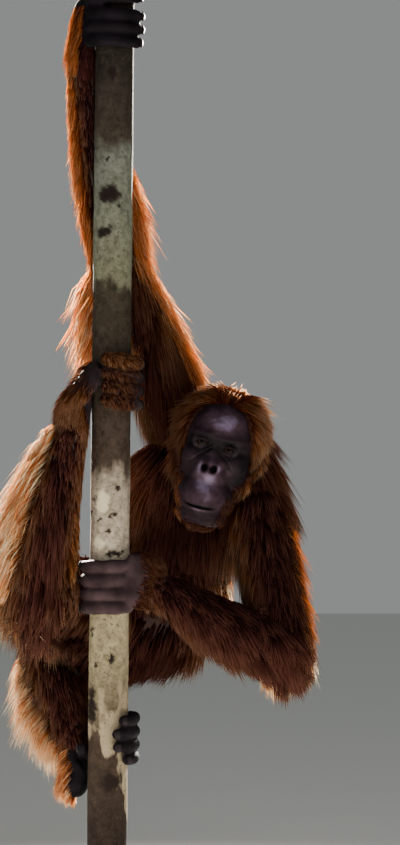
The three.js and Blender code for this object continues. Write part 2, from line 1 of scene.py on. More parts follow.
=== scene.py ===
import math

import bpy
import numpy as np
from mathutils import Matrix, Vector
from mathutils.bvhtree import BVHTree
from mathutils.kdtree import KDTree


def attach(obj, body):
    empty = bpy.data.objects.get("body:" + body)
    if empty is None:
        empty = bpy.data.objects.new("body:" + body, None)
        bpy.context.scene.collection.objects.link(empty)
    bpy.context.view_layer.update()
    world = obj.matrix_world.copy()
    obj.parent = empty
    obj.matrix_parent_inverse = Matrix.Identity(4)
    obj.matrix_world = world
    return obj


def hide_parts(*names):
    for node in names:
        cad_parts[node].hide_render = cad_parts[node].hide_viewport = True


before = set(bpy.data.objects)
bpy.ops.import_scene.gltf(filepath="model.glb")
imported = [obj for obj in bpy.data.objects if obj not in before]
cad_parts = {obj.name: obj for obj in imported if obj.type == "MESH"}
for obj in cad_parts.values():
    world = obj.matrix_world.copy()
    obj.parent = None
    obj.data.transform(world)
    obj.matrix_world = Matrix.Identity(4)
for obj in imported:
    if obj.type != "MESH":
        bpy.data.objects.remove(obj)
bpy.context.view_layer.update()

# Camera: level and far off, as a long lens sees the animal from the ground.
# The frame is 400 by 845 pixels at 1.65 mm a pixel in the plane of the trunk.
PICTURE_HEIGHT = 845 * 0.00165
CAMERA_ACROSS, CAMERA_HEIGHT, CAMERA_AWAY = 0.0743, 0.866, 5.2
TRUNK_DEPTH = -0.09
camera_data = bpy.data.cameras.new("camera")
camera_data.sensor_fit = "VERTICAL"
camera_data.sensor_height = 36.0
camera_data.lens = 36.0 * CAMERA_AWAY / PICTURE_HEIGHT
camera = bpy.data.objects.new("camera", camera_data)
camera.location = (CAMERA_ACROSS, TRUNK_DEPTH - CAMERA_AWAY, CAMERA_HEIGHT)
camera.rotation_euler = (math.pi / 2, 0, 0)
bpy.context.scene.collection.objects.link(camera)
bpy.context.scene.camera = camera


# Studio: a plain pale floor, two large soft lamps in front and two small strong ones behind,
# because the coat shows best with light coming through its edge.
def hex_colour(text):
    """An sRGB hex colour as linear red, green, blue and alpha."""
    parts = [int(text[i : i + 2], 16) / 255 for i in (1, 3, 5)]
    linear = [c / 12.92 if c <= 0.04045 else ((c + 0.055) / 1.055) ** 2.4 for c in parts]
    return (*linear, 1.0)


def add(tree, kind, inputs=None, stops=(), **settings):
    """Adds a shader node with its settings and colour stops, and sets or links its inputs."""
    node = tree.nodes.new("ShaderNode" + kind)
    for name, value in settings.items():
        setattr(node, name, value)
    for key, value in (inputs or {}).items():
        if isinstance(value, bpy.types.Node):
            value = value.outputs[0]
        if isinstance(value, bpy.types.NodeSocket):
            tree.links.new(value, node.inputs[key])
        else:
            node.inputs[key].default_value = value
    for i, (place, colour) in enumerate(stops):
        elements = node.color_ramp.elements
        element = elements[i] if i < 2 else elements.new(place)
        element.position, element.color = place, hex_colour(colour)
    return node


def new_material(name):
    """A material and its empty node tree."""
    material = bpy.data.materials.new(name)
    material.use_nodes = True
    material.node_tree.nodes.clear()
    return material, material.node_tree


def object_of(name, points, faces, material=None):
    """A smooth mesh as an object in the scene."""
    mesh = bpy.data.meshes.new(name)
    mesh.from_pydata(np.asarray(points).tolist(), [], [tuple(map(int, f)) for f in faces])
    mesh.update()
    mesh.shade_smooth()
    if material:
        mesh.materials.append(material)
    piece = bpy.data.objects.new(name, mesh)
    bpy.context.scene.collection.objects.link(piece)
    return piece


def area_light(name, place, aim, size, power, spread, colour):
    """A square lamp: its size in metres, its power in watts and its spread in degrees."""
    data = bpy.data.lights.new(name, "AREA")
    data.size = size
    data.energy = power
    data.spread = math.radians(spread)
    data.color = colour
    lamp = bpy.data.objects.new(name, data)
    lamp.location = place
    lamp.rotation_euler = (Vector(aim) - Vector(place)).to_track_quat("-Z", "Y").to_euler()
    bpy.context.scene.collection.objects.link(lamp)


area_light("back_left", (-0.8, 3.3, 1.9), (-0.1, 0, 0.92), 0.4, 290, 44, (1.0, 0.94, 0.82))
area_light("back_right", (1.0, 3.3, 1.9), (0.1, 0, 0.92), 0.4, 165, 44, (1.0, 0.94, 0.82))
area_light("front_soft", (1.2, -3.4, 2.6), (0, 0, 0.8), 2.4, 62, 180, (1.0, 0.98, 0.96))
area_light("left_fill", (-2.8, -1.8, 1.2), (0, 0, 0.8), 2.0, 22, 180, (0.96, 0.98, 1.0))
world = bpy.data.worlds.new("studio")
world.use_nodes = True
world.node_tree.nodes["Background"].inputs[0].default_value = hex_colour("#dfe3e2")
world.node_tree.nodes["Background"].inputs[1].default_value = 0.36
bpy.context.scene.world = world

floor_material, tree = new_material("pale studio floor")
look = {"Base Color": hex_colour("#d8d8d4"), "Roughness": 1.0, "Specular IOR Level": 0.0}
add(tree, "OutputMaterial", {0: add(tree, "BsdfPrincipled", look)})
FLOOR_CORNERS = [(-9, -9, 0), (9, -9, 0), (9, 9, 0), (-9, 9, 0)]
floor = object_of("floor", FLOOR_CORNERS, [(0, 1, 2, 3)], floor_material)


# Flesh: rounded forms swept along smooth paths, from the same joints as the solids. All lengths
# are in metres. The body is shaved close, because its coat is a piece of its own.
MM = 0.001
SKIN_DEPTH = 1.5 * MM


def smooth_path(points, count=64):
    """Points of a centripetal Catmull-Rom curve through the given ones, evenly spaced."""
    p = np.array(points, float)
    p = np.vstack([2 * p[0] - p[1], p, 2 * p[-1] - p[-2]])
    out = []
    for i in range(1, len(p) - 2):
        knots = np.sqrt(np.linalg.norm(np.diff(p[i - 1 : i + 3], axis=0), axis=1))
        t0 = 0.0
        t1, t2, t3 = np.cumsum(knots)
        t = np.linspace(t1, t2, 24, endpoint=False)[:, None]
        a1 = (t1 - t) / (t1 - t0) * p[i - 1] + (t - t0) / (t1 - t0) * p[i]
        a2 = (t2 - t) / (t2 - t1) * p[i] + (t - t1) / (t2 - t1) * p[i + 1]
        a3 = (t3 - t) / (t3 - t2) * p[i + 1] + (t - t2) / (t3 - t2) * p[i + 2]
        b1 = (t2 - t) / (t2 - t0) * a1 + (t - t0) / (t2 - t0) * a2
        b2 = (t3 - t) / (t3 - t1) * a2 + (t - t1) / (t3 - t1) * a3
        out.append((t2 - t) / (t2 - t1) * b1 + (t - t1) / (t2 - t1) * b2)
    out = np.vstack([*out, p[-2][None]])
    gone = np.concatenate([[0], np.cumsum(np.linalg.norm(np.diff(out, axis=0), axis=1))])
    even = np.linspace(0, gone[-1], count)
    return np.stack([np.interp(even, gone, out[:, k]) for k in range(3)], axis=1)


def unit(v):
    """Vectors made one long."""
    return v / np.maximum(np.linalg.norm(v, axis=-1, keepdims=True), 1e-9)


def tube_faces(rows, sides):
    """Faces over a first tip, rows of vertices all round, and a last tip."""
    faces = []
    for k in range(sides):
        n = (k + 1) % sides
        faces.append((0, 1 + n, 1 + k))
        for r in range(rows - 1):
            a, b = 1 + r * sides, 1 + (r + 1) * sides
            faces.append((a + k, a + n, b + n, b + k))
        last = 1 + (rows - 1) * sides
        faces.append((1 + rows * sides, last + k, last + n))
    return faces


class Form:
    """A rounded form with oval sections along a path, as in the solids."""

    def __init__(self, path, wide, deep=None, facing=(1, 0, 0), blunt=(0.2, 0.2)):
        self.path = smooth_path(path)
        self.wide = np.atleast_1d(np.array(wide, float)) * MM
        self.deep = self.wide if deep is None else np.atleast_1d(np.array(deep, float)) * MM
        self.facing = np.array(facing, float)
        self.blunt = blunt

    def width(self, values, s):
        if len(values) == 1:
            return np.full_like(s, values[0])
        return np.interp(s, np.linspace(0, 1, len(values)), values)

    def at(self, s, angle, grow=0.0):
        """Points, normals and directions ahead at fractions s and angles."""
        s = np.asarray(s, float)
        place = s * (len(self.path) - 1)
        low = np.clip(place.astype(int), 0, len(self.path) - 2)
        t = (place - low)[:, None]
        centre = self.path[low] * (1 - t) + self.path[low + 1] * t
        slope = unit(np.gradient(self.path, axis=0))
        ahead = unit(slope[low] * (1 - t) + slope[low + 1] * t)
        side = unit(self.facing - (ahead @ self.facing)[:, None] * ahead)
        other = np.cross(ahead, side)
        edge = np.minimum(np.minimum(s / self.blunt[0], (1 - s) / self.blunt[1]), 1)
        swell = np.sqrt(np.maximum(0, 1 - (1 - edge) ** 2))
        wide = (self.width(self.wide, s) * swell + grow)[:, None]
        deep = (self.width(self.deep, s) * swell + grow)[:, None]
        c, d = np.cos(angle)[:, None], np.sin(angle)[:, None]
        point = centre + side * wide * c + other * deep * d
        normal = unit(side * c / np.maximum(wide, 1e-4) + other * d / np.maximum(deep, 1e-4))
        return point, normal, ahead

    def mesh(self, rings=28, sides=28, grow=-SKIN_DEPTH):
        s = 0.5 - 0.5 * np.cos(np.pi * np.arange(1, rings) / rings)
        s_grid, a_grid = np.meshgrid(s, 2 * np.pi * np.arange(sides) / sides, indexing="ij")
        points = self.at(s_grid.ravel(), a_grid.ravel(), grow)[0]
        points = np.vstack([self.path[:1], points, self.path[-1:]])
        return points, tube_faces(rings - 1, sides)


def fused(name, parts, voxel, smoothing, material):
    """Many closed forms made one skin, smoothed where they meet."""
    points, faces, start = [], [], 0
    for p, f in parts:
        points.append(p)
        faces += [tuple(i + start for i in face) for face in f]
        start += len(p)
    piece = object_of(name, np.vstack(points), faces)
    remesh = piece.modifiers.new("remesh", "REMESH")
    remesh.mode = "VOXEL"
    remesh.voxel_size = voxel
    ease = piece.modifiers.new("ease", "SMOOTH")
    ease.factor = 0.5
    ease.iterations = smoothing
    graph = bpy.context.evaluated_depsgraph_get()
    mesh = bpy.data.meshes.new_from_object(piece.evaluated_get(graph))
    piece.modifiers.clear()
    piece.data = mesh
    mesh.name = name
    mesh.materials.append(material)
    mesh.shade_smooth()
    return piece


def mm(*values):
    return np.array(values, float) * MM


JOINTS = {
    "shoulder_right": mm(37, 70, 891),
    "elbow_right": mm(-66, -20, 1141),
    "wrist_right": mm(-118, -62, 1458),
    "shoulder_left": mm(170, 30, 735),
    "elbow_left": mm(212, -160, 498),
    "wrist_left": mm(-4, -88, 598),
    "hip_right": mm(-62, 100, 556),
    "knee_right": mm(-194, -100, 592),
    "ankle_right": mm(-138, -102, 860),
    "hip_left": mm(40, 115, 527),
    "knee_left": mm(-181, 80, 472),
    "ankle_left": mm(-136, -40, 334),
}
GIRTHS = {
    "upper_arm": (46, 40, 36),
    "forearm": (38, 36, 25),
    "thigh": (68, 64, 52),
    "shin": (46, 40, 26),
}


def limb(start, end, kind, bow=(0, 0, 0), facing=(1, 0.2, 0)):
    """A limb that runs past its joints by most of its half width."""
    a, b = JOINTS[start], JOINTS[end]
    girths = GIRTHS[kind]
    course = (b - a) / np.linalg.norm(b - a)
    first, last = a - course * 0.75 * girths[0] * MM, b + course * 0.75 * girths[2] * MM
    whole = np.linalg.norm(last - first) / MM
    blunt = (1.1 * girths[0] / whole, 1.1 * girths[2] / whole)
    return Form([first, (a + b) / 2 + mm(*bow), last], girths, facing=facing, blunt=blunt)


NAPE, CHEST, BELLY, SEAT = mm(86, 62, 850), mm(60, 88, 760), mm(18, 108, 640), mm(-16, 118, 528)
TORSO_FACING = (1, 0.25, 0.35)
HEAD_CENTRE = mm(104, -48, 818)
HEAD_TURN = np.array(
    Matrix.Rotation(math.radians(-6), 3, "Z")
    @ Matrix.Rotation(math.radians(14), 3, "Y")
    @ Matrix.Rotation(math.radians(3), 3, "X")
)
HEAD_SIDE, HEAD_FRONT, HEAD_UP = HEAD_TURN[:, 0], -HEAD_TURN[:, 1], HEAD_TURN[:, 2]


def in_head(side, front, rise):
    """A place in the head's own axes, in millimetres."""
    return HEAD_CENTRE + (HEAD_SIDE * side + HEAD_FRONT * front + HEAD_UP * rise) * MM


flesh = {
    "chest": Form(
        [NAPE, CHEST, BELLY], (78, 108, 100), (66, 84, 92), facing=TORSO_FACING, blunt=(0.3, 0.3)
    ),
    "girdle": Form(
        [JOINTS["shoulder_right"], mm(92, 88, 846), JOINTS["shoulder_left"]],
        (46, 66, 50),
        facing=(0, 0, 1),
    ),
    "belly": Form(
        [CHEST * 0.4 + BELLY * 0.6, BELLY, SEAT],
        (100, 100, 92),
        (92, 92, 80),
        facing=TORSO_FACING,
        blunt=(0.3, 0.4),
    ),
    "neck": Form([in_head(0, -30, -20), mm(98, 20, 812), NAPE], (56,), blunt=(0.25, 0.25)),
    "right_upper_arm": limb("shoulder_right", "elbow_right", "upper_arm"),
    "right_forearm": limb("elbow_right", "wrist_right", "forearm"),
    "left_upper_arm": limb("shoulder_left", "elbow_left", "upper_arm"),
    "left_forearm": limb("elbow_left", "wrist_left", "forearm", (0, 0, -6), (0, 0, 1)),
    "right_thigh": limb("hip_right", "knee_right", "thigh", facing=(0, 0, 1)),
    "left_thigh": limb("hip_left", "knee_left", "thigh", facing=(0, 0, 1)),
    "right_shin": limb("knee_right", "ankle_right", "shin"),
    "left_shin": limb("knee_left", "ankle_left", "shin"),
}

# Skin of the body: one thin skin over all the fused forms, all but hidden by the coat. It is dull
# and dark brown, with soft blotches, so that no light patch shows between the tufts.
body_skin_material, tree = new_material("haired body skin")
place = add(tree, "TexCoord").outputs["Object"]
grain = add(tree, "TexNoise", {"Vector": place, "Scale": 60.0})
skin_colour = add(tree, "ValToRGB", {"Fac": grain}, [(0.3, "#1d0e0a"), (0.75, "#3a1b10")])
look = {"Base Color": skin_colour, "Roughness": 0.75}
add(tree, "OutputMaterial", {0: add(tree, "BsdfPrincipled", look)})
BODY_VOXEL, BODY_SMOOTHING = 6 * MM, 6
body_forms = [form.mesh() for form in flesh.values()]
body_skin = fused("body_skin", body_forms, BODY_VOXEL, BODY_SMOOTHING, body_skin_material)
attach(body_skin, "root")
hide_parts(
    "chest", "belly", "neck",
    "right_upper_arm", "right_forearm", "left_upper_arm", "left_forearm",
    "right_thigh", "right_shin", "left_thigh", "left_shin",
)


# Hands and feet: leathery bare skin, creased, from near black to grey brown, drawn over the palm
# or sole and the digits as one. Every digit ends in a small nail of dark horn, set in its back.
def bare_skin(name, dark, light, roughness):
    """Skin between two shades, under a net of creases about 3 mm across."""
    material, tree = new_material(name)
    place = add(tree, "TexCoord").outputs["Object"]
    blotch = add(tree, "TexNoise", {"Vector": place, "Scale": 38.0, "Detail": 5.0})
    net = add(
        tree, "TexVoronoi", {"Vector": place, "Scale": 330.0}, feature="DISTANCE_TO_EDGE"
    )
    lines = add(tree, "MapRange", {"Value": net, "From Max": 0.12})
    colour = add(tree, "ValToRGB", {"Fac": blotch}, [(0.3, dark), (0.72, light)])
    bump = add(tree, "Bump", {"Height": lines, "Strength": 0.3, "Distance": 0.6 * MM})
    look = {"Base Color": colour, "Roughness": roughness, "Normal": bump, "Specular IOR Level": 0.04}
    add(tree, "OutputMaterial", {0: add(tree, "BsdfPrincipled", look)})
    return material


TRUNK_FOOT, TRUNK_TOP = mm(-80, -90, 114), mm(-65, -90, 1632)
TRUNK_RADIUS, TRUNK_TAPER, DIGIT_HALF = 33.6, 1.6, 10.2
DIGIT_REACH = TRUNK_RADIUS + DIGIT_HALF


def trunk_axis(z):
    """The middle of the trunk at a height in millimetres."""
    t = (z * MM - TRUNK_FOOT[2]) / (TRUNK_TOP[2] - TRUNK_FOOT[2])
    return TRUNK_FOOT + (TRUNK_TOP - TRUNK_FOOT) * t


def round_trunk(start, stop, z_start, z_stop, away, count=7):
    """Points round the trunk between two angles in degrees, 0 on the viewer's right."""
    points = []
    for t in np.linspace(0, 1, count):
        angle = math.radians(start + (stop - start) * t)
        axis = trunk_axis(z_start + (z_stop - z_start) * t)
        points.append(axis + mm(math.cos(angle) * away, math.sin(angle) * away, 0))
    return points


KNUCKLES = np.array([1.05, 0.95, 1.08, 0.94, 1.04, 0.94, 0.88])
nail_material, tree = new_material("horn of a nail")
place = add(tree, "TexCoord").outputs["Object"]
ridges = add(tree, "TexNoise", {"Vector": place, "Scale": 500.0})
bump = add(tree, "Bump", {"Height": ridges, "Strength": 0.15, "Distance": 0.3 * MM})
horn = hex_colour("#1b1517")
look = {"Base Color": horn, "Roughness": 0.45, "Specular IOR Level": 0.06, "Normal": bump}
add(tree, "OutputMaterial", {0: add(tree, "BsdfPrincipled", look)})


def digit(path, high, thick):
    """A finger or toe, swollen at its knuckles."""
    return Form(path, KNUCKLES * high, KNUCKLES * thick, facing=(0, 0, 1), blunt=(0.1, 0.09))


def grip(start, stops, low, step, falls, girths, first, first_girths, away=0):
    """Four digits round the trunk from one side, and the thumb or big toe from the other."""
    digits = []
    for i, (stop, fall) in enumerate(zip(stops, falls)):
        z = low + step * i
        digits.append(digit(round_trunk(start, stop, z, z + fall, DIGIT_REACH + away), *girths))
    digits.append(digit(round_trunk(*first, DIGIT_REACH + 1, 5), *first_girths))
    return digits


NAIL_SPAN, NAIL_HALF_TURN, NAIL_GRID = (0.88, 0.965), 0.75, 7
NAIL_TOP, NAIL_ROOT = 0.9 * MM, -0.8 * MM


def nail(form):
    """A small domed plate near the tip of a digit, on its outer side."""
    n = NAIL_GRID
    s = np.linspace(*NAIL_SPAN, n)
    outward = form.path[-6] - trunk_axis(float(form.path[-6][2] / MM))
    outward[2] = 0
    outward = outward / np.linalg.norm(outward)
    best = max(
        np.linspace(0, 2 * np.pi, 24, endpoint=False),
        key=lambda a: float(form.at(np.array([0.9]), np.array([a]))[1][0] @ outward),
    )
    angles = best + np.linspace(-NAIL_HALF_TURN, NAIL_HALF_TURN, n)
    s_grid, a_grid = np.meshgrid(s, angles, indexing="ij")
    top = form.at(s_grid.ravel(), a_grid.ravel(), NAIL_TOP)[0]
    low = form.at(s_grid.ravel(), a_grid.ravel(), NAIL_ROOT)[0]
    points = np.vstack([top, low])
    faces = []
    for i in range(n - 1):
        for j in range(n - 1):
            a = i * n + j
            faces.append((a, a + 1, a + n + 1, a + n))
            faces.append((a + n * n, a + n + n * n, a + n + 1 + n * n, a + 1 + n * n))
    ring = list(range(n)) + [i * n + n - 1 for i in range(1, n)]
    ring += [(n - 1) * n + j for j in range(n - 2, -1, -1)] + [i * n for i in range(n - 2, 0, -1)]
    for a, b in zip(ring, ring[1:] + ring[:1]):
        faces.append((a, a + n * n, b + n * n, b))
    return points, faces


HAND_VOXEL, HAND_SMOOTHING = 2.4 * MM, 3


def extremity(name, palm, digits, material, nodes):
    """Palm or sole and its digits as one skin, with a nail on each digit."""
    forms = [palm.mesh(30, 30)] + [d.mesh(30, 16) for d in digits]
    skin = fused(f"{name}_skin", forms, HAND_VOXEL, HAND_SMOOTHING, material)
    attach(skin, "root")
    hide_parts(*nodes)
    points, faces, start = [], [], 0
    for form in digits:
        p, f = nail(form)
        points.append(p)
        faces += [tuple(i + start for i in face) for face in f]
        start += len(p)
    nails = object_of(f"{name}_nails", np.vstack(points), faces, nail_material)
    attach(nails, "root")
    return skin


# Right hand: near black, near the top of the trunk, its fingers across the front from our left.
FINGERS = ["little", "ring", "middle", "index"]
top_digits = grip(
    176, (344, 352, 352, 344), 1495, 22, (-6, -6, -6, 3), (11.9, 10.3), (120, 52, 1502, 1512), (10, 9)
)
top_palm = Form(
    [mm(-119, -62, 1446), mm(-120, -68, 1480), mm(-119, -73, 1520), mm(-117, -76, 1568)],
    (22, 20, 17, 15), (27, 34, 36, 32), facing=(1, 0.3, 0), blunt=(0.12, 0.14),
)
dark_skin = bare_skin("bare black palm skin", "#090709", "#19151a", 0.72)
brown_skin = bare_skin("bare grey brown skin", "#1e1517", "#3d2f32", 0.64)
purple_skin = bare_skin("bare purple brown skin", "#191214", "#35292c", 0.66)
extremity(
    "right_hand", top_palm, top_digits, dark_skin,
    ["right_hand", "right_thumb", *[f"right_finger_{n}" for n in FINGERS]],
)

# Left hand: grey brown, at the height of the belly, its fingers across the front from our right.
low_digits = grip(
    -30, (-174, -182, -182, -174), 563, 22.8, [-2] * 4, (12.1, 10.3), (24, 96, 622, 636), (10, 9)
)
low_palm = Form(
    [mm(6, -92, 598), mm(-14, -104, 602), mm(-32, -117, 606), mm(-50, -130, 608)],
    (30, 42, 48, 44), (20, 19, 17, 13), facing=(0, 0, 1), blunt=(0.16, 0.14),
)
extremity(
    "left_hand", low_palm, low_digits, brown_skin,
    ["left_hand", "left_thumb", *[f"left_finger_{n}" for n in FINGERS]],
)

# Right foot: purple brown, high on the trunk, its toes across the front from our left.
TOES = ["fifth", "fourth", "third", "second"]
high_toes = grip(
    -112, (-4, 2, 8, 14), 906, 22, [-12] * 4, (12.0, 11), (172, 96, 898, 904), (11, 10), away=1
)
high_sole = Form(
    [mm(-130, -100, 838), mm(-131, -104, 880), mm(-119, -120, 922), mm(-92, -142, 950)],
    (24, 28, 34, 42), (20, 20, 18, 13), facing=(0.55, 0, 0.83), blunt=(0.14, 0.12),
)
extremity(
    "right_foot", high_sole, high_toes, purple_skin,
    ["right_foot", "right_toe_big", *[f"right_toe_{n}" for n in TOES]],
)

# Left foot: near black, low on the trunk, its toes from behind and round our right to the front.
low_toes = grip(
    44, (-52, -78, -80, -64), 315, 21.5, [-3] * 4, (11.4, 10.6), (136, 204, 318, 332), (11, 10)
)
low_sole = Form(
    [mm(-134, -72, 246), mm(-130, -50, 290), mm(-98, -34, 330), mm(-58, -42, 338), mm(-38, -58, 336)],
    (22, 30, 38, 42, 40), (24, 22, 17, 14, 12), facing=(0.3, 0.2, 1), blunt=(0.12, 0.1),
)
extremity(
    "left_foot", low_sole, low_toes, dark_skin,
    ["left_foot", "left_toe_big", *[f"left_toe_{n}" for n in TOES]],
)


# Head: bare face of dark purple-brown skin, built from balls of flesh fused into one skin and
# then pushed in and out for sockets, folds, nose, nostrils and lips.
def ball(centre, wide, deep, high, rows=24, sides=32):
    """An oval ball in the head's axes, from its half sizes in millimetres."""
    points = [(0, 0, 1)]
    for r in range(1, rows):
        t = math.pi * r / rows
        for k in range(sides):
            a = 2 * math.pi * k / sides
            points.append((math.sin(t) * math.cos(a), math.sin(t) * math.sin(a), math.cos(t)))
    points.append((0, 0, -1))
    p = np.array(points)
    from_centre = p[:, :1] * HEAD_SIDE * wide - p[:, 1:2] * HEAD_FRONT * deep
    from_centre = from_centre + p[:, 2:] * HEAD_UP * high
    return centre + from_centre * MM, [f[:1] + f[:0:-1] for f in tube_faces(rows - 1, sides)]


EYE_APART, EYE_RISE, EYE_TILT, EYE_FRONT, EYE_RADIUS = 46.0, 13.5, 1.8, 58.0, 11.0
MOUTH_DROP, MOUTH_WIDE = 89.0, 22.0
# Each ball of flesh: its place to the side, in front and above, then its half sizes.
HEAD_BALLS = {
    "braincase": ((0, -8, 26), (65, 83, 69)),
    "nose_bridge": ((0, 36, -34), (35, 49, 39)),
    "muzzle": ((0, 38, -74), (48, 56, 37)),
    "brow": ((0, 50, 29), (48, 18, 9)),
    "jaw": ((0, 34, -102), (43, 51, 26)),
    "right_cheekbone": ((-25, 36, -14), (30, 30, 28)),
    "left_cheekbone": ((26, 36, -14), (31, 30, 30)),
    "left_cheek": ((34, 18, -34), (30, 34, 34)),
    "right_cheek": ((-32, 16, -36), (29, 33, 34)),
    "throat": ((0, -30, -40), (50, 50, 50)),
}
head_parts = [ball(in_head(*place), *half_sizes) for place, half_sizes in HEAD_BALLS.values()]
for side in (-1, 1):
    head_parts.append(ball(in_head(side * 68, -12, 4), 6, 12, 21, 12, 16))

# The face is matt and nearly black round the eyes, with painted shade in the sockets and a painted
# purple sheen on forehead, nose and muzzle, which the painted light and shade at each point sets.
face_material, tree = new_material("bare face skin")
place = add(tree, "TexCoord").outputs["Object"]
face_light_and_shade = add(tree, "Attribute", attribute_name="face_light_and_shade").outputs["Fac"]
blotch = add(tree, "TexNoise", {"Vector": place, "Scale": 70.0, "Detail": 6.0})
blotch_and_painted_light = add(tree, "Math", {0: blotch, 1: 0.45, 2: face_light_and_shade}, operation="MULTIPLY_ADD")
stops = [
    (0.0, "#060406"), (0.22, "#1d1319"), (0.42, "#35262f"), (0.75, "#6f637c"), (1.0, "#9d97b6"),
]
face_colour = add(tree, "ValToRGB", {"Fac": blotch_and_painted_light}, stops)
net = add(
    tree, "TexVoronoi", {"Vector": place, "Scale": 420.0}, feature="DISTANCE_TO_EDGE"
)
fine = add(tree, "TexNoise", {"Vector": place, "Scale": 260.0, "Detail": 8.0})
height = add(tree, "Math", {0: net, 1: 1.6, 2: fine}, operation="MULTIPLY_ADD")
bump = add(tree, "Bump", {"Height": height, "Strength": 0.35, "Distance": 0.7 * MM})
look = {"Base Color": face_colour, "Roughness": 0.55, "Specular IOR Level": 0.06, "Normal": bump}
add(tree, "OutputMaterial", {0: add(tree, "BsdfPrincipled", look)})


def vertices_of(piece):
    """The vertices of a piece as an array."""
    flat = np.empty(len(piece.data.vertices) * 3)
    piece.data.vertices.foreach_get("co", flat)
    return flat.reshape(-1, 3)


def place_vertices(piece, points):
    piece.data.vertices.foreach_set("co", np.ascontiguousarray(points, dtype=np.float32).ravel())
    piece.data.update()


def mark(piece, name, values):
    """Stores one number for each vertex, for the material to read."""
    layer = piece.data.attributes.new(name, "FLOAT", "POINT")
    layer.data.foreach_set("value", np.asarray(values, dtype=np.float32))


HEAD_VOXEL, HEAD_SMOOTHING = 1.9 * MM, 34
head_skin = fused("head_skin", head_parts, HEAD_VOXEL, HEAD_SMOOTHING, face_material)
points = vertices_of(head_skin)
local = (points - HEAD_CENTRE) / MM
side, front, rise = local @ HEAD_SIDE, local @ HEAD_FRONT, local @ HEAD_UP


def past(x, edge, soft):
    """Nought before an edge and one past it, with a soft step."""
    return 1 / (1 + np.exp((edge - x) / soft))


def hump(x, middle, half):
    """One in the middle, fading to both sides."""
    return np.exp(-(((x - middle) / half) ** 2))


def dab(at_side, at_rise, wide, high):
    """A soft spot on the face."""
    return np.exp(-(((side - at_side) / wide) ** 2) - ((rise - at_rise) / high) ** 2)


# What the face has, as side, rise, half width and half height in mm, and how far it stands out.
# The paired forms are mirrored, and their side is measured outwards.
PAIRED_FORMS = {
    "nose_wing": (13.5, -20, 4.5, 8, 3.4),
    "cheek_hollow": (42, -30, 10, 16, -3.2),
}
MIDDLE_FORMS = {
    "nose_root": (0, 10, 8, 12, -4.0),
    "nose_ridge": (0, -13, 9, 7, 5.0),
    "nose_tip": (0, -31, 13, 6, 4.6),
    "nose_wall": (0, -22, 1.6, 8, 1.6),
    "chin_crease": (0, -104, 26, 4, -1.6),
}
SOCKET_DEPTH, BROW_SWELL, NOSTRIL_DEPTH = 6.5, 4.5, 9.0
# Folds that run from the inner corner of each eye: height above their line, half width, depth.
FOLDS = ((0, 2.1, -4.2), (5, 3.2, 1.0), (-6, 4.0, 0.9), (9, 1.4, -1.4))
push = np.zeros(len(points))
for s in (-1, 1):
    eye, level = s * EYE_APART / 2, EYE_RISE - s * EYE_TILT
    out = s * side
    push -= SOCKET_DEPTH * dab(eye, level, 15, 10)
    push += BROW_SWELL * dab(s * 20, level + 16, 17, 5.5)
    fold_line = 7 - 0.9 * (out - 6)
    on_fold = past(out, 5, 1.5) * past(-out, -31, 3)
    for above, half, reach in FOLDS:
        push += reach * hump(rise - fold_line, above, half) * on_fold
    for at_side, at_rise, wide, high, reach in PAIRED_FORMS.values():
        push += reach * dab(s * at_side, at_rise, wide, high)
    push -= NOSTRIL_DEPTH * dab(s * 8, -23.5 + 0.25 * (out - 8), 5.0, 5.4)
    ring = np.hypot(side - eye, 1.25 * (rise - level))
    push += 0.7 * np.sin(ring * 1.15) * hump(ring, 20, 8) * past(-rise, -level, 4)
for at_side, at_rise, wide, high, reach in MIDDLE_FORMS.values():
    push += reach * dab(at_side, at_rise, wide, high)
# Mouth: a slit that turns up at its ends, between an upper and a fuller lower lip, with fine
# upright creases over it. Wrinkles cross the forehead.
mouth = -MOUTH_DROP + 3.0 * (side / 30) ** 2
inside_mouth = past(-np.abs(side), -MOUTH_WIDE, 2.5)
LIPS = {"slit": (0, 1.7, -4.6), "upper_lip": (5, 4, 1.6), "lower_lip": (-5, 3.6, 2.6)}
for above, half, reach in LIPS.values():
    push += reach * hump(rise - mouth, above, half) * inside_mouth
push += 0.4 * np.sin(side * 1.3) * hump(rise - mouth, 9, 8) * inside_mouth
push += 0.35 * np.sin(side * 1.1 + 0.5 * np.sin(rise * 0.2)) * dab(6, 60, 26, 20)
push += 0.4 * np.sin(rise * 0.75 + 0.02 * side**2) * dab(0, 50, 34, 18)
facing_us = past(front, 18, 5)
points = points + (HEAD_FRONT * (push * facing_us * MM)[:, None])
for s in (-1, 1):
    ear = in_head(s * 76, -13, 5)
    near = hump(np.linalg.norm(points - ear, axis=1), 0, 8 * MM)
    points = points - (HEAD_SIDE * s) * (near * 5 * MM)[:, None]
place_vertices(head_skin, points)
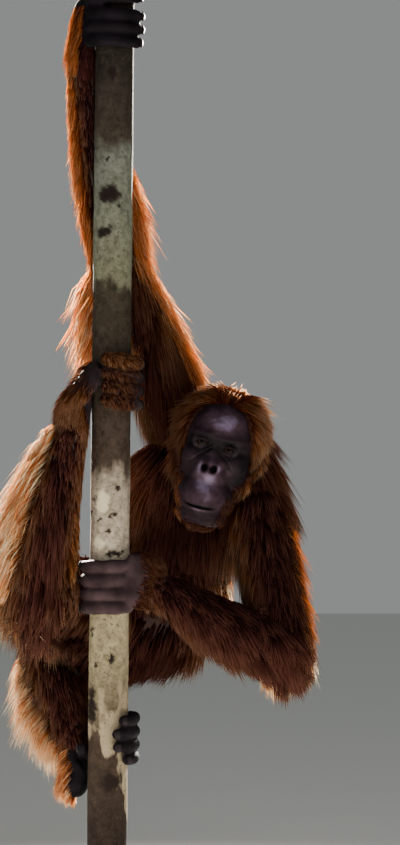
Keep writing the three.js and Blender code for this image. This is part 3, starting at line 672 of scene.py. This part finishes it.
# Painted light and shade of the face: highlights on forehead, nose, muzzle and cheekbones, and
# shade in the sockets, at the root of the nose, on the left cheek and in the nostrils. Each is
# given as side, rise, half width and half height in mm, and the change.
BASE_TONE = -0.06
PAINTED_LIGHT_AND_SHADE = {
    "left_forehead": (12, 54, 24, 18, 0.46),
    "right_forehead": (-18, 50, 18, 14, 0.16),
    "nose_ridge": (0, -8, 8, 10, 0.22),
    "nose": (0, -31, 20, 16, 0.34),
    "right_nose_wing": (-15, -22, 5, 9, 0.40),
    "left_nose_wing": (15, -22, 5, 9, 0.40),
    "upper_muzzle": (0, -56, 30, 18, 0.36),
    "lower_muzzle": (0, -78, 30, 10, 0.16),
    "left_cheekbone": (30, -14, 14, 9, 0.10),
    "right_cheekbone": (-30, -10, 12, 8, 0.10),
    "right_socket": (-23, 16, 20, 14, -0.24),
    "left_socket": (23, 14, 20, 14, -0.24),
    "nose_root": (0, 14, 12, 12, -0.12),
    "left_cheek": (52, -20, 14, 40, -0.12),
    "right_nostril": (-8, -24, 5.2, 5.4, -1.10),
    "left_nostril": (8, -24, 5.2, 5.4, -1.10),
}
light_and_shade_values = BASE_TONE + sum(change * dab(*spot) for *spot, change in PAINTED_LIGHT_AND_SHADE.values())
# Painted highlight along the lower lip, and painted shade in the slit of the mouth.
light_and_shade_values += 0.30 * dab(0, mouth - 4.5, 20, 2.6)
light_and_shade_values -= 0.50 * hump(rise, mouth, 2.0) * inside_mouth
mark(head_skin, "face_light_and_shade", light_and_shade_values)
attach(head_skin, "root")
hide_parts("head", "lower_jaw", "right_ear", "left_ear")

# Eyes: wet balls with a brown iris and a black pupil, which look at the viewer. Each lies under a
# ring of thick dark lid, open in a narrow oval.
eye_material, tree = new_material("wet eye")
off_axis = add(tree, "Attribute", attribute_name="look").outputs["Fac"]
stops = [
    (0.0, "#010101"), (0.28, "#020101"), (0.34, "#1e0f07"), (0.6, "#120906"), (0.7, "#0c0706"),
    (1.0, "#1a1210"),
]
eye_colour = add(tree, "ValToRGB", {"Fac": off_axis}, stops)
look = {"Base Color": eye_colour, "Roughness": 0.05, "Specular IOR Level": 0.06}
add(tree, "OutputMaterial", {0: add(tree, "BsdfPrincipled", look)})
lid_material = bare_skin("lid skin", "#0d090a", "#2a2125", 0.4)
rows, around = 9, 40
LID_GAP, LID_GROWTH = (9.6, 4.8), (7.5, 8.2)
LID_OUTER_RADIUS, LID_THICK, LID_RIM = 12.1, 1.4, 0.9
for name, s in (("right", -1), ("left", 1)):
    centre = in_head(s * EYE_APART / 2, EYE_FRONT, EYE_RISE - s * EYE_TILT)
    p, f = ball(centre, EYE_RADIUS, EYE_RADIUS, EYE_RADIUS, 32, 40)
    eye = object_of(f"{name}_eyeball", p, f, eye_material)
    aim = HEAD_FRONT + 0.06 * HEAD_SIDE
    straight = (p - centre) / (EYE_RADIUS * MM) @ (aim / np.linalg.norm(aim))
    mark(eye, "look", np.degrees(np.arccos(np.clip(straight, -1, 1))) / 60.0)
    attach(eye, "root")
    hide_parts(f"{name}_eye")
    lid_points = []
    for layer in (0, 1):
        for r in range(rows):
            grow = r / (rows - 1)
            for k in range(around):
                a = 2 * math.pi * k / around
                x = (LID_GAP[0] + LID_GROWTH[0] * grow) * math.cos(a)
                z = (LID_GAP[1] + LID_GROWTH[1] * grow) * math.sin(a)
                z *= 1.0 if math.sin(a) < 0 else 0.95
                swell = LID_OUTER_RADIUS - LID_THICK * layer
                off = x * x + z * z
                y = math.sqrt(max(swell**2 - min(off, 130), 1.0)) if off < 130 else 3.9
                y += LID_RIM * math.exp(-((grow - 0.14) / 0.1) ** 2) * (1 - layer) - 2.0 * grow * grow
                from_eye = HEAD_SIDE * x + HEAD_FRONT * y + HEAD_UP * (z - 0.3)
                lid_points.append(centre + from_eye * MM)
    size = rows * around
    rings = [0, *range(size, 2 * size, around), *range(size - around, -1, -around)]
    lid_faces = [
        (a + k, a + (k + 1) % around, b + (k + 1) % around, b + k)
        for a, b in zip(rings, rings[1:])
        for k in range(around)
    ]
    lid = object_of(f"{name}_eyelids", lid_points, lid_faces, lid_material)
    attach(lid, "root")


# Coat: long shaggy hair in thin tapered tufts, each rooted in the skin, lying down the limb and
# gathered towards the tip of the lock it belongs to. Colour runs from near black-brown roots to
# orange tips, and is lightest where the hair is long. Light from behind is painted into the coat as
# well, most on the back, on the animal's right side and on the long fringes: it makes the hair there
# paler and more orange and lets more light through it. A tuft is coarser than a hair.
coat_material, tree = new_material("orangutan hair")
along, draw, painted_backlight = (
    add(tree, "Attribute", attribute_name=name).outputs["Fac"]
    for name in ("along", "draw", "painted_backlight")
)
stops = [(0.0, "#110b0e"), (0.35, "#231417"), (0.7, "#3e2021"), (1.0, "#5e342c")]
shade_colour = add(tree, "ValToRGB", {"Fac": along}, stops)
# Painted back light: the paler, more orange colour of hair that light from behind is painted into.
stops = [(0.0, "#5a2214"), (0.3, "#a34e22"), (0.65, "#e0964e"), (1.0, "#fde2bc")]
backlit_colour = add(tree, "ValToRGB", {"Fac": along}, stops)
base = add(tree, "Mix", {0: painted_backlight, 6: shade_colour, 7: backlit_colour}, data_type="RGBA")
base = base.outputs[2]
darker = {0: 1.0, 6: base, 7: hex_colour("#6e5a54")}
dark_tuft = add(tree, "Mix", darker, data_type="RGBA", blend_type="MULTIPLY")
varied = add(tree, "Mix", {0: draw, 6: dark_tuft.outputs[2], 7: base}, data_type="RGBA")
varied = varied.outputs[2]
look = {"Base Color": varied, "Roughness": 0.6, "Specular IOR Level": 0.0}
surface = add(tree, "BsdfPrincipled", look)
# Light passing through a tuft is paler still where more back light is painted into it.
stops = [(0.3, "#7a3319"), (0.55, "#d27432"), (0.78, "#ffc074"), (0.97, "#fff6e4")]
glow_colour = add(tree, "ValToRGB", {"Fac": painted_backlight}, stops)
glow = add(tree, "Mix", {0: painted_backlight, 6: varied, 7: glow_colour}, data_type="RGBA")
thin = add(tree, "BsdfTranslucent", {"Color": glow.outputs[2]})
clearness = add(tree, "Math", {0: painted_backlight, 1: 0.65, 2: 0.28}, operation="MULTIPLY_ADD")
both = add(tree, "MixShader", {0: clearness, 1: surface, 2: thin})
add(tree, "OutputMaterial", {0: both})

# Where along a tuft its two rings and its tip are, and how it is shaped.
STEPS = np.array([0.0, 0.45, 1.0])
ROOT_DEPTH, LOOSENESS, RIDGE_HIGH, PATCH = 2.5 * MM, 0.05, 0.7, 0.003
DOWN = np.array([0.0, 0.0, -1.0])
random = np.random.default_rng(7)
skin_tree, head_tree = (
    BVHTree.FromPolygons(vertices_of(skin).tolist(), [tuple(p.vertices) for p in skin.data.polygons])
    for skin in (body_skin, head_skin)
)


def on_skin(points, surface, reach):
    """Nearest places and normals on a skin, and which points lie within reach of it."""
    places = np.empty_like(points)
    normals = np.empty_like(points)
    good = np.zeros(len(points), bool)
    for i, point in enumerate(points):
        place, normal, _, distance = surface.find_nearest(Vector(point))
        if place is not None and distance < reach:
            places[i], normals[i], good[i] = place, normal, True
    return places, normals, good


def hair_paths(root, normal, lie, long, lean, droop):
    """Each hair's points: off the skin at a low angle, over along its lie, and down at the tip."""
    u = STEPS[None, :, None]
    length = long[:, None, None]
    tangent = unit(lie - (lie * normal).sum(1, keepdims=True) * normal)
    depth = np.minimum(ROOT_DEPTH, 0.07 * long)[:, None, None]
    path = root[:, None] - normal[:, None] * depth + tangent[:, None] * length * u
    path = path + normal[:, None] * length * lean[:, None, None] * u * (1 - 0.45 * u)
    return path + DOWN * droop[:, None, None] * length * u**1.8


def coat(name, spot, normal, uv, lie, long, width, painted_backlight_at, lean, droop, clump, gather=0.7):
    """One piece of coat from its roots: every tuft a closed three-sided sliver, which leans
    towards the lead tuft of its clump."""
    count = len(spot)
    paths = hair_paths(spot, normal, lie, long, lean, droop)
    leaders = random.choice(count, max(count // clump, 1), replace=False)
    finder = KDTree(len(leaders))
    for i, leader in enumerate(leaders):
        finder.insert(Vector(spot[leader]), i)
    finder.balance()
    follow = leaders[np.array([finder.find(Vector(p))[1] for p in spot])]
    u = STEPS[None, :, None]
    pull = gather * u**1.3
    shape = paths * (1 - pull) + paths[follow] * pull
    loose = random.normal(0, 1, (count, 3)) * LOOSENESS
    shape = shape + loose[:, None] * long[:, None, None] * u**1.5
    ahead = unit(np.gradient(shape, axis=1))
    across = unit(np.cross(ahead, normal[:, None]))
    out = np.cross(across, ahead)
    taper = np.array([0.8, 0.92])[None, :, None]
    half = width[:, None, None] * 0.5 * taper
    body = shape[:, :2]
    edge_a = body - across[:, :2] * half
    edge_b = body + across[:, :2] * half
    ridge = body + out[:, :2] * half * RIDGE_HIGH
    rings = np.stack([edge_a, ridge, edge_b], axis=2).reshape(count, 6, 3)
    points = np.concatenate([rings, shape[:, 2:]], axis=1).reshape(-1, 3)
    pattern = [(0, 1, 2)]
    for a, b in ((0, 1), (1, 2), (2, 0)):
        pattern += [(a, a + 3, b + 3), (a, b + 3, b), (a + 3, 6, b + 3)]
    faces = (np.arange(count)[:, None, None] * 7 + np.array(pattern)[None]).reshape(-1, 3)
    mesh = bpy.data.meshes.new(name)
    mesh.vertices.add(len(points))
    mesh.vertices.foreach_set("co", points.astype(np.float32).ravel())
    mesh.loops.add(faces.size)
    mesh.loops.foreach_set("vertex_index", faces.astype(np.int32).ravel())
    mesh.polygons.add(len(faces))
    mesh.polygons.foreach_set("loop_start", np.arange(0, faces.size, 3, dtype=np.int32))
    mesh.update(calc_edges=True)
    mesh.validate()
    mesh.shade_smooth()
    piece = bpy.data.objects.new(name, mesh)
    bpy.context.scene.collection.objects.link(piece)
    mesh.materials.append(coat_material)
    way = np.tile(np.repeat(STEPS, [3, 3, 1]), count)
    mark(piece, "along", way)
    mark(piece, "draw", np.repeat(random.random(count) ** 0.7, 7))
    # How much light from behind is painted into each tuft.
    mark(piece, "painted_backlight", np.repeat(np.clip(painted_backlight_at, 0, 1), 7))
    patch = np.array([(-1, 0), (0, 0), (1, 0)] * 2 + [(0, 0)], float)
    patch[:, 1] = np.repeat(STEPS, [3, 3, 1])
    spots = uv[:, None] + patch[None] * np.array([PATCH / 2, PATCH])
    layer = mesh.uv_layers.new(name="OFBake")
    layer.data.foreach_set("uv", spots.reshape(-1, 2)[faces.ravel()].astype(np.float32).ravel())
    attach(piece, "root")
    return piece


def bake_cell(index, across, upward):
    """A place in one of 36 cells of the unit square, one for each stretch of skin."""
    column, row = index % 6, index // 6
    return np.stack([(column + 0.03 + 0.93 * across) / 6, (row + 0.03 + 0.93 * upward) / 6], axis=1)


def painted_backlight_on(normal):
    """How much light from behind is painted into hair by the way its root faces: most on the back and
    on the animal's right side, least in front.
    """
    x, y, z = normal.T
    return 0.02 + 0.45 * np.clip(-x, 0, 1) ** 3 + 0.22 * np.clip(x, 0, 1) ** 3 + 0.14 * np.clip(y, 0, 1)


TRUNK_CLEAR, NEAR_TRUNK, ROOT_REACH = 40 * MM, 90 * MM, 7 * MM
# Each row: cell of the map, tufts, their lengths in mm at the start, middle and end of the form,
# how far they follow its course, their lean off the skin, and their droop.
STRETCHES = {
    "right_upper_arm": (0, 7100, (90, 105, 105), -0.9, 0.34, 0.35),
    "right_forearm": (1, 7100, (95, 66, 40), -1.0, 0.36, 0.15),
    "left_upper_arm": (2, 7800, (72, 78, 64), 0.9, 0.34, 0.22),
    "left_forearm": (3, 7800, (58, 62, 46), -0.8, 0.42, 0.26),
    "right_thigh": (4, 7400, (80, 80, 74), 0.5, 0.33, 0.28),
    "left_thigh": (5, 6900, (68, 62, 50), 0.5, 0.28, 0.20),
    "right_shin": (6, 7100, (84, 78, 36), -0.8, 0.42, 0.15),
    "left_shin": (7, 6400, (56, 54, 34), 0.6, 0.34, 0.16),
    "chest": (8, 11000, (90, 90, 82), 0.4, 0.30, 0.22),
    "girdle": (9, 6400, (90, 92, 88), 0.0, 0.32, 0.25),
    "belly": (10, 11000, (72, 52, 30), 0.4, 0.22, 0.12),
    "neck": (11, 2300, (80, 80, 80), 0.3, 0.26, 0.20),
}
trunk_x, trunk_y = float(trunk_axis(800)[0]), TRUNK_DEPTH
for name, (cell, count, lengths, course, lean, droop) in STRETCHES.items():
    form = flesh[name]
    s = random.uniform(0.03, 0.97, count)
    angle = random.uniform(0, 2 * np.pi, count)
    points, _, ahead = form.at(s, angle, -SKIN_DEPTH)
    spot, normal, good = on_skin(points, skin_tree, ROOT_REACH)
    long = np.interp(s, np.linspace(0, 1, 3), lengths) * MM * random.uniform(0.7, 1.2, count)
    clear = np.hypot(spot[:, 0] - trunk_x, spot[:, 1] - trunk_y)
    good &= clear > TRUNK_CLEAR
    long = np.where(clear < NEAR_TRUNK, long * 0.5, long)
    keep = np.flatnonzero(good)
    n = len(keep)
    lie = ahead[keep] * course + DOWN * 0.8 + random.normal(0, 0.12, (n, 3))
    coat(
        f"{name}_coat",
        spot[keep],
        normal[keep],
        bake_cell(cell, angle[keep] / (2 * np.pi), s[keep]),
        lie,
        long[keep],
        random.uniform(2.1, 3.7, n) * MM,
        painted_backlight_on(normal[keep]) * random.uniform(0.7, 1.2, n),
        np.full(n, lean) * random.uniform(0.7, 1.3, n),
        np.full(n, droop),
        14,
    )

# Fringes: the longest hair, on the outer edge of the arms and of the leg that is held high, with
# short hair on the backs of the hands and on the high foot. Each grows on one side of a form.
# Each row: cell of the map, form, span along it, side it grows on, how well a root must face that
# side, tufts, length in mm, lie, lean off the skin, and how much light from behind is painted into
# the hair, which is most on the long edges.
FRINGES = {
    "right_elbow": (14, "right_upper_arm", (0.5, 0.98), (-1, 0, -0.2), 0.3,
        2200, 118, (-0.4, 0, -1), 1.3, 0.88),
    "right_arm_edge": (15, "right_upper_arm", (0.1, 1.0), (1, 0.4, -0.2), 0.55,
        2200, 72, (0.3, 0, -1), 0.8, 0.84),
    "right_shin_edge": (16, "right_shin", (0.08, 0.95), (-1, 0.3, 0), 0.5,
        3800, 84, (0, 0, -1), 1.5, 1.0),
    "right_knuckles": (17, "top_palm", (0.02, 0.9), (-1, 0.25, 0), 0.3,
        1000, 36, (-0.3, 0, -1), 0.8, 0.75),
    "left_wrist": (18, "low_palm", (0.0, 0.8), (0.3, -0.7, 0.4), -0.2,
        2800, 22, (0.9, 0.1, -0.4), 0.5, 0.12),
    "high_instep": (19, "high_sole", (0.0, 1.0), (-0.7, -0.7, 0.1), -0.1,
        3800, 30, (-0.3, 0, -1), 0.8, 0.22),
    "left_arm_edge": (20, "left_upper_arm", (0.1, 1.0), (1, 0.3, 0), 0.6,
        1500, 58, (0.3, 0, -1), 0.7, 0.72),
    "left_elbow": (21, "left_upper_arm", (0.78, 1.0), (0.2, 0.2, -1), 0.2,
        1700, 60, (-0.2, 0, -1), 0.7, 0.95),
    "belly_edge": (22, "belly", (0.72, 1.0), (0.5, 0, -1), 0.45,
        1400, 42, (0.1, 0, -1), 0.7, 0.92),
    "left_shin_edge": (23, "left_shin", (0.02, 0.95), (-0.8, 0.3, -0.5), 0.45,
        2800, 66, (-0.1, 0, -1), 1.25, 1.05),
    "right_forearm_edge": (1, "right_forearm", (0.02, 1.0), (-1, 0.3, 0), 0.45,
        2600, 46, (-0.1, 0, -1), 0.9, 0.8),
    "right_elbow_inside": (1, "right_forearm", (0.0, 0.62), (1, 0.3, 0), 0.45,
        1500, 72, (0.2, 0, -1), 1.0, 0.84),
    "left_heel": (13, "low_sole", (0.0, 0.5), (-1, 0.2, -0.2), 0.1,
        900, 30, (-0.1, 0, -1), 0.9, 0.9),
    "shin_inside": (6, "right_shin", (0.0, 0.55), (1, 0.7, 0), 0.3,
        2200, 60, (0.2, 0.3, -1), 0.7, 0.5),
    "right_wrist_inside": (1, "right_forearm", (0.3, 1.0), (1, -0.8, 0), 0.2,
        2200, 32, (0.1, -0.1, -1), 0.3, 0.0),
    "right_palm_heel": (17, "top_palm", (0.0, 0.45), (0.6, -1, 0), 0.1,
        1200, 30, (0.1, -0.1, -1), 0.35, 0.0),
    **{
        f"{TOES[i]}_toe": (25 + i, f"high_toe_{i}", (0.0, 0.72), (0, -1, 0.2), -0.1,
            700, 15, (0.5, 0, -1), 0.4, 0.12)
        for i in range(3)
    },
    "second_toe": (28, "high_toe_3", (0.0, 0.80), (0, -1, 0.6), -0.1,
        900, 17, (0.5, 0, -1), 0.6, 0.3),
    "flank": (10, "belly", (0.1, 0.8), (1, 0.35, 0), 0.6,
        1500, 66, (0.4, 0, -1), 1.1, 1.0),
    "right_knee": (24, "right_thigh", (0.8, 1.0), (-1, 0, 0), 0.2,
        900, 58, (-0.2, 0, -1), 1.0, 0.95),
}
bare_forms = {"top_palm": top_palm, "low_palm": low_palm, "high_sole": high_sole, "low_sole": low_sole}
bare_forms |= {f"high_toe_{i}": toe for i, toe in enumerate(high_toes)}
for name, row in FRINGES.items():
    cell, where, (low, high), toward, least, count, length, lie, lean, backlight_share = row
    form = flesh[where] if where in flesh else bare_forms[where]
    drawn = random.random(count * 4)
    s = low + (high - low) * (1 - np.sqrt(drawn) if least < 0 else drawn)
    angle = random.uniform(0, 2 * np.pi, count * 4)
    points, normal, _ = form.at(s, angle, -SKIN_DEPTH)
    aim = np.array(toward) / np.linalg.norm(toward)
    keep = np.flatnonzero((normal @ aim) > least)[:count]
    n = len(keep)
    fade = np.sin(np.pi * np.clip((s[keep] - low) / (high - low), 0.04, 0.96)) ** 0.4
    coat(
        f"{name}_fringe",
        points[keep],
        normal[keep],
        bake_cell(cell, angle[keep] / (2 * np.pi), s[keep]),
        np.array(lie) + random.normal(0, 0.16, (n, 3)),
        length * MM * fade * random.uniform(0.6, 1.15, n),
        random.uniform(1.8, 3.2, n) * MM * (0.5 if length < 40 else 1.0),
        backlight_share * random.uniform(0.7, 1.1, n),
        lean * random.uniform(0.7, 1.25, n),
        np.full(n, 0.12),
        8,
        gather=0.5,
    )

# Hair of the head: a rounded cap that grows from the crown, falls down both sides of the face
# and runs into the hair of the cheeks and chin.
HEAD_TUFTS = 22000
z = random.uniform(-1, 1, HEAD_TUFTS)
turn = random.uniform(0, 2 * np.pi, HEAD_TUFTS)
flat = np.sqrt(1 - z * z)
aims = (flat * np.cos(turn))[:, None] * HEAD_SIDE + (flat * np.sin(turn))[:, None] * HEAD_FRONT
aims = aims + z[:, None] * HEAD_UP
start = in_head(0, 0, 0)
spots, normals, uvs = [], [], []
for i, aim in enumerate(aims):
    place, normal, _, _ = head_tree.ray_cast(Vector(start + aim * 0.25), Vector(-aim))
    if place is None:
        continue
    spots.append(place)
    normals.append(normal)
    uvs.append(((turn[i] / (2 * np.pi)), (z[i] + 1) / 2))
spots, normals, uvs = np.array(spots), np.array(normals), np.array(uvs)
local = (spots - HEAD_CENTRE) / MM
h_side, h_front, h_rise = local @ HEAD_SIDE, local @ HEAD_FRONT, local @ HEAD_UP
# The bare face: its half width at each rise, in mm, a little wider at the left cheek.
FACE_RISES, FACE_WIDTHS = (-125, -95, -60, -20, 0, 40, 66, 80), (34, 47, 53, 57, 58, 53, 40, 26)
bare_wide = np.interp(h_rise, FACE_RISES, FACE_WIDTHS)
bare_wide = bare_wide + 7 * (h_side > 0) * hump(h_rise, -10, 34)
bare = (np.abs(h_side) < bare_wide) & (h_front > 4) & (h_rise < 78) & (h_rise > -116)
hair = np.flatnonzero(~bare)
turned = np.arctan2(h_side[hair], h_rise[hair] + 12)
sign = np.tanh(h_side[hair] / 22)
crown = past(h_rise[hair], 45, 14)
lie = (
    HEAD_SIDE * (0.22 * np.sin(turned) + sign * np.cos(turned))[:, None]
    + HEAD_UP * (0.22 * np.cos(turned) - sign * np.sin(turned))[:, None]
    - HEAD_FRONT * (0.30 * crown + 0.05)[:, None]
    + DOWN * 0.25
    + random.normal(0, 0.1, (len(hair), 3))
)
HAIR_RISES, HAIR_LENGTHS = (-130, -100, -60, -10, 30, 100), (24, 26, 30, 34, 42, 60)
head_long = np.interp(h_rise[hair], HAIR_RISES, HAIR_LENGTHS)
head_long *= np.where(h_side[hair] > 25, 0.78, 1.0) * np.where(h_front[hair] > 30, 0.85, 1.0)
head_long *= MM * random.uniform(0.75, 1.2, len(hair))
# Painted light on the hair of the head: lighter where it faces up and towards the animal's left.
lit = 0.30 * np.clip(normals[hair, 2], 0, 1) ** 3 + 0.24 * np.clip(normals[hair, 0], 0, 1) ** 3
coat(
    "head_coat",
    spots[hair],
    normals[hair],
    bake_cell(12, uvs[hair, 0], uvs[hair, 1]),
    lie,
    head_long,
    random.uniform(1.8, 3.2, len(hair)) * MM,
    np.minimum(0.07 + lit, 0.5),
    (0.26 + 0.36 * crown) * random.uniform(0.7, 1.3, len(hair)),
    0.12 + 0.1 * crown,
    12,
)

# Hair of the face: short fuzz on the lips and chin, and longer wisps along the edge of the bare
# skin. Light from behind is painted into the wisps of the beard on the animal's right, which makes
# them the lightest.
edge_of_face = np.abs(h_side) > bare_wide - 5
low_edge = (h_rise < -40) & (np.abs(h_side) > bare_wide - 17)
muzzle = np.flatnonzero(bare & (edge_of_face | low_edge | (h_rise < -97)))
edge_now = (edge_of_face | low_edge)[muzzle]
outward = HEAD_SIDE * np.sign(h_side[muzzle])[:, None]
rim_lit_beard = edge_now & (h_side[muzzle] < 0) & (h_rise[muzzle] < -50)
coat(
    "face_coat",
    spots[muzzle],
    normals[muzzle],
    bake_cell(12, uvs[muzzle, 0], uvs[muzzle, 1]),
    DOWN * 0.8 + outward * 0.6 + random.normal(0, 0.2, (len(muzzle), 3)),
    np.where(edge_now, random.uniform(7, 15, len(muzzle)), random.uniform(4, 8, len(muzzle))) * MM,
    np.where(edge_now, 0.8, 0.45) * random.uniform(0.7, 1.1, len(muzzle)) * MM,
    np.where(rim_lit_beard, 0.42, 0.1),
    np.full(len(muzzle), 0.6),
    np.full(len(muzzle), 0.1),
    4,
    gather=0.2,
)

# Trunk: a slender young tree with smooth grey bark, ring scars, lichen above and brown stains
# below. It is one long turned form, with shallow grooves for the scars and with coloured marks.
TRUNK_SIDES, TRUNK_ROWS, BARK_INSET = 96, 520, 0.2
rows = np.linspace(0, 1, TRUNK_ROWS)
turn = 2 * np.pi * np.arange(TRUNK_SIDES) / TRUNK_SIDES
centre = TRUNK_FOOT + (TRUNK_TOP - TRUNK_FOOT) * rows[:, None]
radius = (TRUNK_RADIUS - TRUNK_TAPER * rows)[:, None] * np.ones(TRUNK_SIDES)
radius -= 0.5 + 0.5 * np.sin(rows * 61)[:, None] * np.cos(turn * 2 + rows[:, None] * 9)
RING_SCARS = (1427, 1432, 1385, 1352, 1236, 1160, 1098, 985, 842, 770, 700, 602, 520, 437)
ring_places = [(z * MM - TRUNK_FOOT[2]) / (TRUNK_TOP[2] - TRUNK_FOOT[2]) for z in RING_SCARS]
for ring_at in [*ring_places, *random.uniform(0.02, 0.98, 26)]:
    tilt = random.uniform(-0.002, 0.002)
    strength = random.uniform(0.3, 1.0)
    reach = np.cos(turn - random.uniform(0, 6.28)) * 0.5 + 0.5
    radius -= strength * reach * hump(rows[:, None] - ring_at, tilt * np.cos(turn), 0.0012)
radius = np.minimum(radius, TRUNK_RADIUS - TRUNK_TAPER * rows[:, None] - BARK_INSET) * MM
points = np.stack(
    [
        centre[:, :1] + radius * np.cos(turn),
        centre[:, 1:2] + radius * np.sin(turn),
        centre[:, 2:] + 0 * radius,
    ],
    axis=2,
).reshape(-1, 3)
points = np.vstack([TRUNK_FOOT[None], points, TRUNK_TOP[None]])
# Marks on the side that faces us, as place across, height, width and height of each in mm. The
# first two dark marks are painted shade for knot holes, which the turned form does not have.
DARK_MARKS = (
    (-74, 1241, 19, 15), (-82, 1179, 12, 9), (-70, 1440, 8, 11), (-72, 650, 8, 5), (-61, 652, 9, 4),
    (-94, 741, 7, 6), (-83, 718, 5, 5), (-68, 714, 6, 4), (-78, 687, 6, 3), (-107, 717, 4, 5),
    (-92, 705, 3, 3), (-60, 758, 5, 5), (-73, 276, 15, 14), (-104, 400, 7, 34), (-58, 350, 7, 12),
    (-62, 610, 4, 4), (-92, 560, 4, 5), (-70, 480, 5, 9), (-96, 470, 4, 6),
    (-104, 520, 3, 8), (-76, 1300, 3, 3), (-60, 1220, 3, 4), (-84, 848, 4, 4),
)
PALE_MARKS = ((-86, 735, 10, 20), (-92, 668, 8, 12))
wobble = 3.0 * np.sin(points[:, 2] * 210) * np.sin(points[:, 2] * 83 + points[:, 0] * 300)
wobble += 1.6 * np.sin(points[:, 2] * 690 + points[:, 0] * 500)


def marks(table):
    """How much each point lies in one of the marks, on the side that faces us."""
    x, y, z = points[:, 0] / MM, points[:, 1], points[:, 2] / MM
    total = np.zeros(len(points))
    for at_x, at_z, wide, high in table:
        distance = np.hypot((x + wobble - at_x) / wide, (z + wobble - at_z) / high)
        total = np.maximum(total, past(-distance, -1, 0.09))
    return total * (y < TRUNK_DEPTH)


bark_material, tree = new_material("smooth young bark")
place = add(tree, "TexCoord").outputs["Object"]
rise = add(tree, "SeparateXYZ", {0: place}).outputs["Z"]
height = add(tree, "MapRange", {"Value": rise, "From Min": 0.1, "From Max": 1.64})
long_grain = add(tree, "Mapping", {"Vector": place, "Scale": (1.0, 1.0, 0.45)})
patch = add(tree, "TexNoise", {"Vector": long_grain, "Scale": 26.0, "Detail": 7.0})
wander = add(tree, "Math", {0: patch, 1: 0.10, 2: height}, operation="MULTIPLY_ADD")
stops = [
    (0.10, "#2c2421"), (0.21, "#3f342c"), (0.27, "#7a705a"), (0.33, "#968b70"), (0.42, "#aca091"),
    (0.485, "#9b8f81"), (0.505, "#41362f"), (0.60, "#3a312b"), (0.69, "#383229"), (0.70, "#6f705c"),
    (0.83, "#6e7168"), (0.855, "#3f3831"), (0.93, "#2b2622"),
]
zones = add(tree, "ValToRGB", {"Fac": wander}, stops)
mottle = add(
    tree, "TexNoise", {"Vector": place, "Scale": 85.0, "Detail": 9.0, "Roughness": 0.7}
)
stops = [(0.32, "#75716c"), (0.5, "#d0cdc8"), (0.66, "#ffffff")]
mottle_shade = add(tree, "ValToRGB", {"Fac": mottle}, stops)
shape = {"Vector": long_grain, "Scale": 16.0, "Detail": 4.0, "W": 2.0}
stain = add(tree, "TexNoise", shape, noise_dimensions="4D")
low_only = add(tree, "MapRange", {"Value": rise, "From Min": 0.52, "From Max": 0.38})
stain_mask = add(tree, "MapRange", {"Value": stain, "From Min": 0.53, "From Max": 0.56})
stained = add(tree, "Math", {0: stain_mask, 1: low_only}, operation="MULTIPLY")
speck = add(tree, "TexNoise", {"Vector": place, "Scale": 240.0, "Detail": 6.0})
speck_mask = add(tree, "MapRange", {"Value": speck, "From Min": 0.58, "From Max": 0.74})
dark_mark = add(tree, "Attribute", attribute_name="dark_mark").outputs["Fac"]
pale_mark = add(tree, "Attribute", attribute_name="pale_mark").outputs["Fac"]
bark_colour = zones.outputs[0]
for share, over, blend in (
    (0.75, mottle_shade, "MULTIPLY"),
    (stained, hex_colour("#857863"), "MIX"),
    (speck_mask, hex_colour("#3b342c"), "MIX"),
    (dark_mark, hex_colour("#1c1513"), "MIX"),
    (pale_mark, hex_colour("#c2b59c"), "MIX"),
):
    layers = {0: share, 6: bark_colour, 7: over}
    bark_colour = add(tree, "Mix", layers, data_type="RGBA", blend_type=blend).outputs[2]
bump = add(tree, "Bump", {"Height": mottle, "Strength": 0.7, "Distance": 4 * MM})
look = {"Base Color": bark_colour, "Roughness": 0.85, "Specular IOR Level": 0.05, "Normal": bump}
add(tree, "OutputMaterial", {0: add(tree, "BsdfPrincipled", look)})
bark = object_of("trunk_bark", points, tube_faces(TRUNK_ROWS, TRUNK_SIDES), bark_material)
mark(bark, "dark_mark", marks(DARK_MARKS))
mark(bark, "pale_mark", marks(PALE_MARKS))
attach(bark, "root")
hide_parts("trunk")

# Display stand: a flat base plate and two short rods that hold the cut trunk upright. They are
# aluminium with a satin black powder coat, which has a fine grit.
stand_material, tree = new_material("powder coated aluminium")
place = add(tree, "TexCoord").outputs["Object"]
grit = add(tree, "TexNoise", {"Vector": place, "Scale": 900.0})
bump = add(tree, "Bump", {"Height": grit, "Strength": 0.2, "Distance": 0.2 * MM})
look = {"Base Color": hex_colour("#26272a"), "Roughness": 0.5, "Normal": bump}
add(tree, "OutputMaterial", {0: add(tree, "BsdfPrincipled", look)})
for name in ("stand_base", "stand_rod_left", "stand_rod_right"):
    node = bpy.data.objects[name]
    node.data.materials.clear()
    node.data.materials.append(stand_material)
